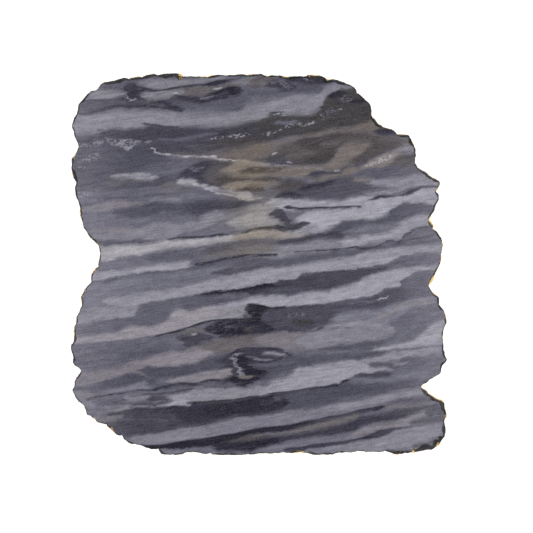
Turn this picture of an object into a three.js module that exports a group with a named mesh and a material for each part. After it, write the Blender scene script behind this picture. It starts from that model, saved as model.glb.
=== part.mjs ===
// A slab of banded marble for serving on: sawn flat above and below, and chipped by hand all round
// its rim, so that the edge is a row of flake scars with sharp ridges between them.
// Millimetres, +Z up, +Y along the longer side. The slab lies on its underside, and the origin is
// under the middle of its outline.

import * as THREE from 'three';

const THICKNESS = 13;

// The widest line of the rim, clockwise from above: each flake scar is an arc from its own corner to
// the next one. [x, y, bow, chip]: the corner, how far the arc bows out (in where negative), and,
// where the flake broke back the upper face further than usual, how far.
const LEFT_UPPER_SCARS = [
  [-143.8, 93.6, 0.6],
  [-149.1, 112.4, 0.8],
  [-145.8, 120.3, 0],
  [-144.3, 127.8, 0.3],
];
const TOP_SCARS = [
  [-136.4, 137.8, 0.3],
  [-130, 140.4, 2.1],
  [-116.7, 146.7, 1.6],
  [-103.6, 148.2, 1.1],
  [-93.5, 149.2, 1.6, 2.6],
  [-79.7, 152, 0.4, 3.2],
  [-66, 153.4, 0.5, 3.6],
  [-60.6, 150.2, 0.3],
  [-42, 150.5, 1.2],
  [-28.4, 151.5, 0],
  [-24.2, 151.1, 0.8],
  [-9.2, 151.5, 1.2],
  [7.1, 151.3, 0.9],
  [22.2, 150.6, 0.6],
  [37.4, 150.5, 0.9, 4.5],
  [50.2, 151.2, 0.3, 2.4],
  [54.4, 147.9, 0.4],
  [61, 147.6, 0.5],
  [69.8, 144.5, 1],
  [78.4, 140.3, 0],
];
const RIGHT_UPPER_SCARS = [
  [78.8, 137.6, 0.2],
  [88.3, 130.2, 0.4],
  [90.6, 121, 0],
  [90.2, 119.6, -0.6],
  [98.8, 109.9, 1.3],
  [111.3, 104.6, 0.2],
  [120, 104, -0.2, 2.2],
  [124.9, 96.1, 0.6],
  [125.2, 86.6, 0],
  [125.1, 81.4, -0.5],
  [131, 74.4, 0.6],
  [139.4, 69.1, 1.1, 2],
  [145.1, 64.6, 0.3],
  [141.8, 58.2, 0.5],
  [144.3, 52, 0.3],
  [136, 36.4, -0.1],
  [136.2, 34.9, 0.2],
  [140.1, 31.2, 0],
  [139.8, 28.9, 1.7],
  [147.5, 16.8, 0.3],
  [145.6, 7.4, 0.8],
];
const RIGHT_LOWER_SCARS = [
  [144.6, -2, -0.3],
  [136, -16.6, -1.1],
  [143.3, -25.3, 0.4],
  [144.1, -31.8, -0.3],
  [148.6, -36.8, 0.5],
  [150.5, -41.4, 0.1],
  [150, -48.6, -0.4],
  [146.5, -61, -0.2],
  [150.8, -76.6, -0.5],
  [145.8, -84.3, 0],
  [146.5, -86, 0.5],
  [138, -91.6, 0.2],
  [131.2, -96.8, -1],
  [131.2, -100.4, -0.1, 2.2],
  [138.4, -105.4, -0.6],
  [146.3, -110.3, 1, 3],
  [150.8, -121.6, -0.5],
  [148.7, -127.2, 1, 2.4],
  [149.2, -138, -0.1, 4],
  [146.9, -140.4, 1.5, 5.5],
];
const BOTTOM_SCARS = [
  [139.6, -146.9, -0.2, 4.5],
  [128.8, -149.6, 0, 2.6],
  [122.6, -150, 0.4, 2],
  [116.5, -150.3, 1, 2.2],
  [105, -150.6, 0],
  [101.1, -149.1, 0.5],
  [86.9, -150.4, 0],
  [86.3, -149.2, 0.1],
  [79.1, -149.5, 1],
  [69, -150.3, 0.1],
  [63.3, -150.7, 0.9],
  [50.3, -151.4, 0.9],
  [38.8, -150.5, 0.2],
  [25, -150.4, 0.4],
  [20.5, -150.5, 0.6],
  [13.5, -150.8, 0.1],
  [5.5, -150.8, 0.5],
  [-2, -151.1, 0.2],
  [-8.2, -151.3, 0.9],
  [-16.5, -152.2, 0.1],
  [-23, -152.3, 1.1],
  [-37.5, -151.1, 0.5],
  [-43, -151.2, 0.4],
  [-54.6, -150, 0.1],
  [-57.8, -150.1, 0.3],
  [-62.5, -152.4, 0.1],
  [-73, -152.2, 0.9],
  [-80.6, -147.5, 0.5],
];
const LEFT_LOWER_SCARS = [
  [-88.3, -146.9, 0.3],
  [-99, -143.7, 1.1],
  [-109.2, -136.7, 0.2],
  [-114, -136.1, 0.2],
  [-121.3, -128.1, 0.1],
  [-123.4, -128.5, 0.2],
  [-129, -126.3, 0.2],
  [-134.5, -120.9, 0.1],
  [-136.9, -119.7, 0.2],
  [-140.3, -112.4, 0],
  [-142.2, -111, 1.1],
  [-148.3, -101, 0.1],
  [-147, -97.3, 0],
  [-146.9, -93.2, 0.1],
  [-142.4, -85.6, -0.1],
  [-148.1, -78.6, 0],
  [-147.8, -75.3, 0.3],
  [-150.4, -66, 0.4],
  [-148.5, -62.8, -0.2],
  [-146.8, -54.6, 0],
  [-148.2, -50.4, -0.5],
  [-145.9, -43, -0.2],
  [-141.5, -32.5, 0.1],
  [-141.2, -24.3, 0.8],
];
const LEFT_MIDDLE_SCARS = [
  [-133.9, -13.9, 0.3],
  [-133.3, -7.6, 0.7],
  [-128.4, -1.8, 0],
  [-126.8, 10, -0.3],
  [-128.6, 15, 0],
  [-140.6, 30.2, 0],
  [-140.1, 33.2, 0],
  [-141.4, 38.5, -0.1],
  [-144.3, 50.7, 1.8],
  [-145.9, 64.9, 0.2, 2.4],
  [-150.3, 77.6, 0.1],
  [-149.3, 80.8, 1, 2.8],
  [-147.3, 87.3, 0.1],
];
const SCARS = [
  ...LEFT_UPPER_SCARS,
  ...TOP_SCARS,
  ...RIGHT_UPPER_SCARS,
  ...RIGHT_LOWER_SCARS,
  ...BOTTOM_SCARS,
  ...LEFT_LOWER_SCARS,
  ...LEFT_MIDDLE_SCARS,
];

const STATION_STEP = 2.9;      // longest step between two stations along the rim
const FACING_REACH = 10;       // the rim's general direction is taken over this far each way
const CHIP_WIDTH = [0.5, 1.4]; // how far a usual flake breaks back the upper face
const SPALL_WIDTH = [0.8, 3.2]; // the same at the underside
const CHIP_STEEPNESS = [0.8, 1.3]; // depth of a break for each millimetre of its width
const DEEPEST_CHIP = 5;
const CORNER_SHARE = 0.4;      // a break narrows to this share of its width at its corners
const HOLLOW = [0, 2.1];       // how far a scar's wall lies inside the widest line
const SLANT = 1.4;             // how far a ridge leans along the rim, from mid height to a face

let seed = 20;
// The next number of a fixed series, from 0 up to 1.
function chance() {
  seed = (seed * 1664525 + 1013904223) % 4294967296;
  return seed / 4294967296;
}

const between = ([low, high]) => low + (high - low) * chance();

// How one flake broke away: at both faces, in the wall between them, and at the ridge it starts from.
function makeScar([x, y, bow, chip]) {
  const chipWidth = chip ?? between(CHIP_WIDTH);
  const spallWidth = between(SPALL_WIDTH);
  return {
    corner: new THREE.Vector2(x, y),
    bow,
    slant: between([-SLANT, SLANT]),
    relief: {
      chipWidth,
      chipDepth: Math.min(DEEPEST_CHIP, chipWidth * between(CHIP_STEEPNESS)),
      spallWidth,
      spallDepth: spallWidth * between(CHIP_STEEPNESS),
      shoulder: between(HOLLOW) * 0.3,
      upperWall: between(HOLLOW),
      lowerWall: between(HOLLOW),
      foot: between(HOLLOW) * 0.5,
    },
  };
}

// Mixes two scars' relief, as at the ridge that they share.
function mixRelief(a, b, share) {
  const mixed = {};
  for (const name of Object.keys(a)) {
    mixed[name] = THREE.MathUtils.lerp(a[name], b[name], share);
  }
  return mixed;
}

// The relief at a ridge: the mean of its two scars, with the breaks narrowed.
function ridgeRelief(before, after) {
  const ridge = mixRelief(before.relief, after.relief, 0.5);
  for (const name of ['chipWidth', 'chipDepth', 'spallWidth', 'spallDepth']) {
    ridge[name] *= CORNER_SHARE;
  }
  return ridge;
}

// Stations round the rim, a few to a scar: a point of the widest line and the relief there.
function makeStations(scars) {
  const stations = [];
  scars.forEach((scar, index) => {
    const next = scars[(index + 1) % scars.length];
    const before = scars[(index + scars.length - 1) % scars.length];
    const chord = next.corner.clone().sub(scar.corner);
    const outward = new THREE.Vector2(-chord.y, chord.x).normalize();
    const steps = Math.ceil(chord.length() / STATION_STEP);
    const startRelief = ridgeRelief(before, scar);
    const endRelief = ridgeRelief(scar, next);
    for (let step = 0; step < steps; step += 1) {
      const along = step / steps;
      const arch = 4 * along * (1 - along);
      const ends = mixRelief(startRelief, endRelief, along);
      stations.push({
        point: scar.corner.clone().addScaledVector(chord, along).addScaledVector(outward, scar.bow * arch),
        slant: THREE.MathUtils.lerp(scar.slant, next.slant, along),
        relief: mixRelief(ends, scar.relief, arch),
      });
    }
  });
  return stations;
}

// The way along the rim near a station, smoothed over its neighbours so that ridges stay apart.
function rimDirection(stations, index) {
  const count = stations.length;
  const walk = (way) => {
    let at = index;
    let walked = 0;
    while (walked < FACING_REACH) {
      const next = (at + way + count) % count;
      walked += stations[at].point.distanceTo(stations[next].point);
      at = next;
    }
    return stations[at].point;
  };
  return walk(1).clone().sub(walk(-1)).normalize();
}

// One vertical section of the rim, from the upper face down to the underside, as
// [height, how far inside the widest line].
function sectionAt({ chipWidth, chipDepth, spallWidth, spallDepth, ...wall }) {
  const wallTop = THICKNESS - chipDepth;
  const wallHeight = wallTop - spallDepth;
  const proud = Math.min(wall.shoulder, wall.upperWall, wall.lowerWall, wall.foot);
  return [
    [THICKNESS, chipWidth],
    [THICKNESS - 0.45 * chipDepth, 0.6 * chipWidth],
    [wallTop, wall.shoulder - proud],
    [spallDepth + 0.66 * wallHeight, wall.upperWall - proud],
    [spallDepth + 0.33 * wallHeight, wall.lowerWall - proud],
    [spallDepth, wall.foot - proud],
    [0.45 * spallDepth, 0.6 * spallWidth],
    [0, spallWidth],
  ];
}

// The rings of points round the rim, top ring first.
function makeRings(stations) {
  const rings = Array.from({ length: 8 }, () => []);
  stations.forEach(({ point, slant, relief }, index) => {
    const along = rimDirection(stations, index);
    const inward = new THREE.Vector2(along.y, -along.x);
    sectionAt(relief).forEach(([height, inset], level) => {
      const lean = slant * (2 * height / THICKNESS - 1);
      const place = point.clone().addScaledVector(along, lean).addScaledVector(inward, inset);
      rings[level].push(new THREE.Vector3(place.x, place.y, height));
    });
  });
  return rings;
}

// The closed surface: a flat face inside the first ring, the wall between rings, and a flat face
// inside the last.
function makeSurface(rings) {
  const count = rings[0].length;
  const faces = [];
  const upperFace = THREE.ShapeUtils.triangulateShape(rings[0], []);
  const underside = THREE.ShapeUtils.triangulateShape(rings.at(-1), []);
  const lastRing = (rings.length - 1) * count;
  const facesUp = ([a, b, c]) => {
    const ring = rings[0];
    return (ring[b].x - ring[a].x) * (ring[c].y - ring[a].y)
      > (ring[b].y - ring[a].y) * (ring[c].x - ring[a].x);
  };
  const upFirst = facesUp(upperFace[0]);
  for (const [a, b, c] of upperFace) {
    faces.push(...(upFirst ? [a, b, c] : [a, c, b]));
  }
  for (const [a, b, c] of underside) {
    faces.push(...(upFirst ? [a, c, b] : [a, b, c]).map((corner) => corner + lastRing));
  }
  for (let level = 0; level + 1 < rings.length; level += 1) {
    for (let at = 0; at < count; at += 1) {
      const next = (at + 1) % count;
      const upper = level * count;
      const lower = upper + count;
      faces.push(upper + at, upper + next, lower + at);
      faces.push(upper + next, lower + next, lower + at);
    }
  }
  const geometry = new THREE.BufferGeometry().setFromPoints(rings.flat());
  geometry.setIndex(faces);
  return geometry;
}

// Moves a geometry so that its outline is centred over the origin.
function centreOutline(geometry) {
  geometry.computeBoundingBox();
  const middle = geometry.boundingBox.getCenter(new THREE.Vector3());
  return geometry.translate(-middle.x, -middle.y, 0);
}

function makeSlab() {
  const scars = SCARS.map(makeScar);
  const geometry = centreOutline(makeSurface(makeRings(makeStations(scars))));
  geometry.computeVertexNormals();
  const marble = new THREE.MeshStandardMaterial({ color: 0x73727c, roughness: 0.38, metalness: 0 });
  const slab = new THREE.Mesh(geometry, marble);
  slab.name = 'marble_slab';
  return slab;
}

const model = new THREE.Group();
model.add(makeSlab());

export default model;
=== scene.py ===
"""A flat slab of grey banded marble with a hand-chipped, gilded rim."""

import math
from collections import namedtuple

import bmesh
import bpy
import numpy as np
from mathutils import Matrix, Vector, noise


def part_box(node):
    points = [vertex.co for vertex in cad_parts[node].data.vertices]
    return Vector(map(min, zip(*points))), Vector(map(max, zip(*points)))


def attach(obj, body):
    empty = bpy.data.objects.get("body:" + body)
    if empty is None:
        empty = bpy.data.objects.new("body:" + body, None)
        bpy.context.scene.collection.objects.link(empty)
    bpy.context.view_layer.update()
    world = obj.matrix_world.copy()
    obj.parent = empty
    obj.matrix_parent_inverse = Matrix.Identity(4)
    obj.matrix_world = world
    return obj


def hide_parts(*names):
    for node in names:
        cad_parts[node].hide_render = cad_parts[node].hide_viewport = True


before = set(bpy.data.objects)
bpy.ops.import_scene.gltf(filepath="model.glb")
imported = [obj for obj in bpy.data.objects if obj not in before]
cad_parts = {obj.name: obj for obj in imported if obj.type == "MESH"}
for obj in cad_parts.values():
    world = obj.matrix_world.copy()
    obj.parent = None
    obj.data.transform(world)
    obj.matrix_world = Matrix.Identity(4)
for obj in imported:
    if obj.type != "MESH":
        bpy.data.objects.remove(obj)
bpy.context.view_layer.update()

MM = 0.001


# ---------------------------------------------------------------- the rim

RIM_CUTS = 3                    # cuts in each edge of the rim's facets
FACING_ROUNDS = 8               # rounds of averaging of the outward directions
# Flake scars as (size, depth) in mm: dishes that meet in sharp ridges.
FLAKES = ((9.0, 1.15), (4.4, 0.55), (2.1, 0.22))
FLAKE_STRETCH = 1.25            # a scar's height is its width divided by this
FLAKE_SHIFT = Vector((13.7, 5.1, 2.9))      # sets the scars of one size off from those of the next
DISH_RISE = 1.7                 # share of its depth that a dish rises to its edge
DISH_FLOOR = 0.5                # share of a dish's depth that lies below the unbroken surface
GRIT = 0.12                     # height of the broken stone's fine roughness in mm
GRIT_SIZE = 1.1                 # mm across one of its grains
BULGE = 0.8                     # mm that the rim swells between its two chipped edges
CHIP_DEPTH = 3.0                # mm below a flat face over which its edge is chipped back
CHIP_REACH = 0.25               # mm that it is chipped back, before the shares below
CHIP_SHARES = (0.7, 0.2)        # middle and least share of that from place to place
FAR_CHIPS = 4.0                 # how much more than that it is chipped along the far side
CHIP_SIZE = 14.0                # mm from one run of chips to the next
COLUMN_WIDTH = 25.0             # mm between the cuts that divide the flat faces
COLUMNS = 5                     # cuts on each side of the middle one
LEVEL_SLACK = 0.01              # mm from a flat face within which a vertex lies on it
WELD = 0.002                    # mm within which two vertices are one
SHARP_ANGLE = math.radians(12)  # from which a ridge between two facets stays sharp


def average_over_neighbours(values, edges, rounds):
    """Smooths rows of values, one for each vertex, by averaging them along the mesh's edges."""
    degree = np.bincount(edges.ravel(), minlength=len(values)).astype(float)
    for _ in range(rounds):
        total = values.copy()
        np.add.at(total, edges[:, 0], values[edges[:, 1]])
        np.add.at(total, edges[:, 1], values[edges[:, 0]])
        values = total / (degree + 1)[:, None]
    return values


def flake_relief(place):
    """Height of the broken surface at a place, in mm: below zero in a scar and above it on a ridge."""
    height = GRIT * noise.noise(place / (GRIT_SIZE * MM))
    for index, (size, depth) in enumerate(FLAKES, start=1):
        spot = Vector((place.x, place.y, place.z * FLAKE_STRETCH)) / (size * MM)
        spot += FLAKE_SHIFT * index
        nearest = noise.voronoi(spot)[0][0]
        height += depth * (DISH_RISE * nearest * nearest - DISH_FLOOR)
    return height


def rim_profile(place, facing, low, high):
    """How far the rim swells at a place, in mm, or is chipped back towards a flat face if below zero."""
    depth = min(high.z - place.z, place.z - low.z) / MM
    nearness = max(1.0 - depth / CHIP_DEPTH, 0.0)
    run = noise.noise(Vector((place.x, place.y, 0.0)) / (CHIP_SIZE * MM))
    share = max(CHIP_SHARES[0] + run, CHIP_SHARES[1])
    reach = CHIP_REACH * (1.0 + FAR_CHIPS * max(facing.y, 0.0)) * share
    return BULGE - nearness * (BULGE + reach)


def strata_y(y, z):
    """Where a place lies in the strata's own y, in metres, after their dip through the slab."""
    return y + STRATA_MIDDLE[1] * MM + DIP[1] * (DEPTH_OF_FACE * MM - z)


def is_level(element, levels):
    """True if all the vertices of a face or edge lie at one of some levels."""
    return any(all(abs(vert.co.z - level) < LEVEL_SLACK * MM for vert in element.verts) for level in levels)


def cut_flat(bm, broken, level, place, across):
    """Cuts the flat face at a level in two along a line through a place."""
    flat = [face for face in bm.faces if face[broken] == 0.0 and is_level(face, [level])]
    geometry = list(flat)
    geometry += [edge for face in flat for edge in face.edges]
    geometry += [vert for face in flat for vert in face.verts]
    bmesh.ops.bisect_plane(bm, geom=list(dict.fromkeys(geometry)), plane_co=place, plane_no=across)


def open_rim(bm, levels):
    """Takes the flat faces away and cuts the rest, the rim, finer."""
    flats = [face for face in bm.faces if is_level(face, levels)]
    bmesh.ops.delete(bm, geom=flats, context="FACES_ONLY")
    bmesh.ops.delete(bm, geom=[edge for edge in bm.edges if not edge.link_faces], context="EDGES")
    bmesh.ops.subdivide_edges(bm, edges=bm.edges, cuts=RIM_CUTS, use_grid_fill=True)
    bm.normal_update()
    bm.verts.index_update()


def break_rim(bm, relief, low, high):
    """Moves the rim's vertices in or out into flake scars, a swell and chipped edges."""
    edges = np.array([[vert.index for vert in edge.verts] for edge in bm.edges])
    outward = np.array([(vert.normal.x, vert.normal.y, 0.0) for vert in bm.verts])
    outward = average_over_neighbours(outward, edges, FACING_ROUNDS)
    outward /= np.linalg.norm(outward, axis=1)[:, None]
    for vert in bm.verts:
        facing = Vector(outward[vert.index])
        vert[relief] = flake_relief(vert.co)
        moved = vert.co + facing * (vert[relief] + rim_profile(vert.co, facing, low, high)) * MM
        vert.co.x = min(max(moved.x, low.x), high.x)
        vert.co.y = min(max(moved.y, low.y), high.y)


def close_faces(bm, broken, levels):
    """Closes the rim with its two flat faces, cut along the zones' borders and into columns."""
    rims = [edge for edge in bm.edges if edge.is_boundary and is_level(edge, levels)]
    for face in bmesh.ops.edgenet_fill(bm, edges=rims)["faces"]:
        face[broken] = 0.0
    for level in levels:
        for border in ZONE_BORDERS:
            place = (0.0, border * MM - strata_y(0.0, level), 0.0)
            cut_flat(bm, broken, level, place, (0.0, 1.0, 0.0))
        for column in range(-COLUMNS, COLUMNS + 1):
            place = (column * COLUMN_WIDTH * MM, 0.0, 0.0)
            cut_flat(bm, broken, level, place, (1.0, 0.0, 0.0))


def build_slab(cad, low, high):
    """The visible slab: the solid's rim cut finer and broken into flakes, and its faces left flat."""
    bm = bmesh.new()
    bm.from_mesh(cad.data)
    relief = bm.verts.layers.float.new("relief")
    bmesh.ops.remove_doubles(bm, verts=bm.verts, dist=WELD * MM)
    levels = (high.z, low.z)
    open_rim(bm, levels)
    break_rim(bm, relief, low, high)
    broken = bm.faces.layers.float.new("broken")
    for face in bm.faces:
        face[broken] = 1.0
    close_faces(bm, broken, levels)
    bmesh.ops.triangulate(bm, faces=bm.faces)
    bmesh.ops.recalc_face_normals(bm, faces=bm.faces)
    for face in bm.faces:
        middle = face.calc_center_median()
        place = strata_y(middle.y, middle.z)
        face.material_index = sum(place < border * MM for border in ZONE_BORDERS)

    mesh = bpy.data.meshes.new("marble_slab_stone")
    bm.to_mesh(mesh)
    bm.free()
    mesh.set_sharp_from_angle(angle=SHARP_ANGLE)
    for polygon, share in zip(mesh.polygons, mesh.attributes["broken"].data):
        polygon.use_smooth = share.value > 0.0
    slab = bpy.data.objects.new("marble_slab_stone", mesh)
    bpy.context.scene.collection.objects.link(slab)
    return slab


# ---------------------------------------------------------------- tones and styles

# Tones of the stone as display colours, from 0 to 255.
TONES = {
    "ink": (44, 43, 52),
    "charcoal": (60, 59, 69),
    "dark": (75, 74, 84),
    "slate": (89, 88, 100),
    "mid": (104, 103, 115),
    "grey": (117, 116, 128),
    "silver": (131, 130, 140),
    "light": (146, 145, 155),
    "pale": (162, 161, 171),
    "calcite": (178, 175, 181),
    "olive": (66, 64, 66),
    "umber": (80, 76, 77),
    "brown": (101, 97, 99),
    "tan": (116, 109, 107),
    "sand": (134, 127, 125),
    "rose": (134, 129, 136),
}

# How a stratum is laid in: the softness of its upper and lower edge in mm, whether each edge is
# ragged, how strongly it covers what is under it, and the pattern that breaks it up.
Style = namedtuple("Style", "upper_soft lower_soft upper_ragged lower_ragged strength pattern")
STYLES = {
    "ground": Style(9.0, 9.0, False, False, 0.97, None),
    "haze": Style(9.0, 9.0, False, True, 0.6, None),
    "soft": Style(5.0, 6.0, True, True, 0.92, None),
    "crisp": Style(1.6, 2.6, False, True, 0.95, None),
    "dark": Style(2.2, 6.5, True, True, 0.97, None),
    "light": Style(5.0, 2.2, True, True, 0.96, None),
    "ragged": Style(3.0, 5.0, True, True, 0.96, None),
    "mottled": Style(3.2, 4.2, True, True, 0.95, "patches"),
    "specks": Style(2.4, 2.4, True, True, 0.85, "specks"),
    "vein": Style(1.7, 1.9, True, True, 0.88, "flecks"),
    "seam": Style(1.5, 2.2, False, True, 0.92, "breaks"),
    "seam_wide": Style(1.5, 3.0, False, True, 0.95, "breaks"),
}
SEAM_WIDTHS = {"seam": 1.3, "seam_wide": 2.0}       # mm
# Each pattern as the range of noise over which a stratum comes in, and how far it is gone before that.
PATTERNS = {
    None: (-1.0, -0.5, 1.0),
    "patches": (0.32, 0.55, 0.5),
    "breaks": (0.34, 0.52, 0.55),
    "specks": (0.45, 0.62, 1.0),
    "flecks": (0.38, 0.58, 0.65),
}
# A stratum closes to nothing past each of its ends, a first few mm further on and then some share of
# its own thickness further still. There its two edges have crossed.
CLOSE_FIRST = 3.0               # mm
CLOSE_SOON = 0.9                # share of its thickness
CLOSE_SLOWLY = 1.6              # the same share for a haze
CLOSE_LIMIT = 14.0              # the most mm that the share of its thickness gives
CROSSING = 1.5                  # mm that each edge has crossed the middle by


# ---------------------------------------------------------------- the strata

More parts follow.
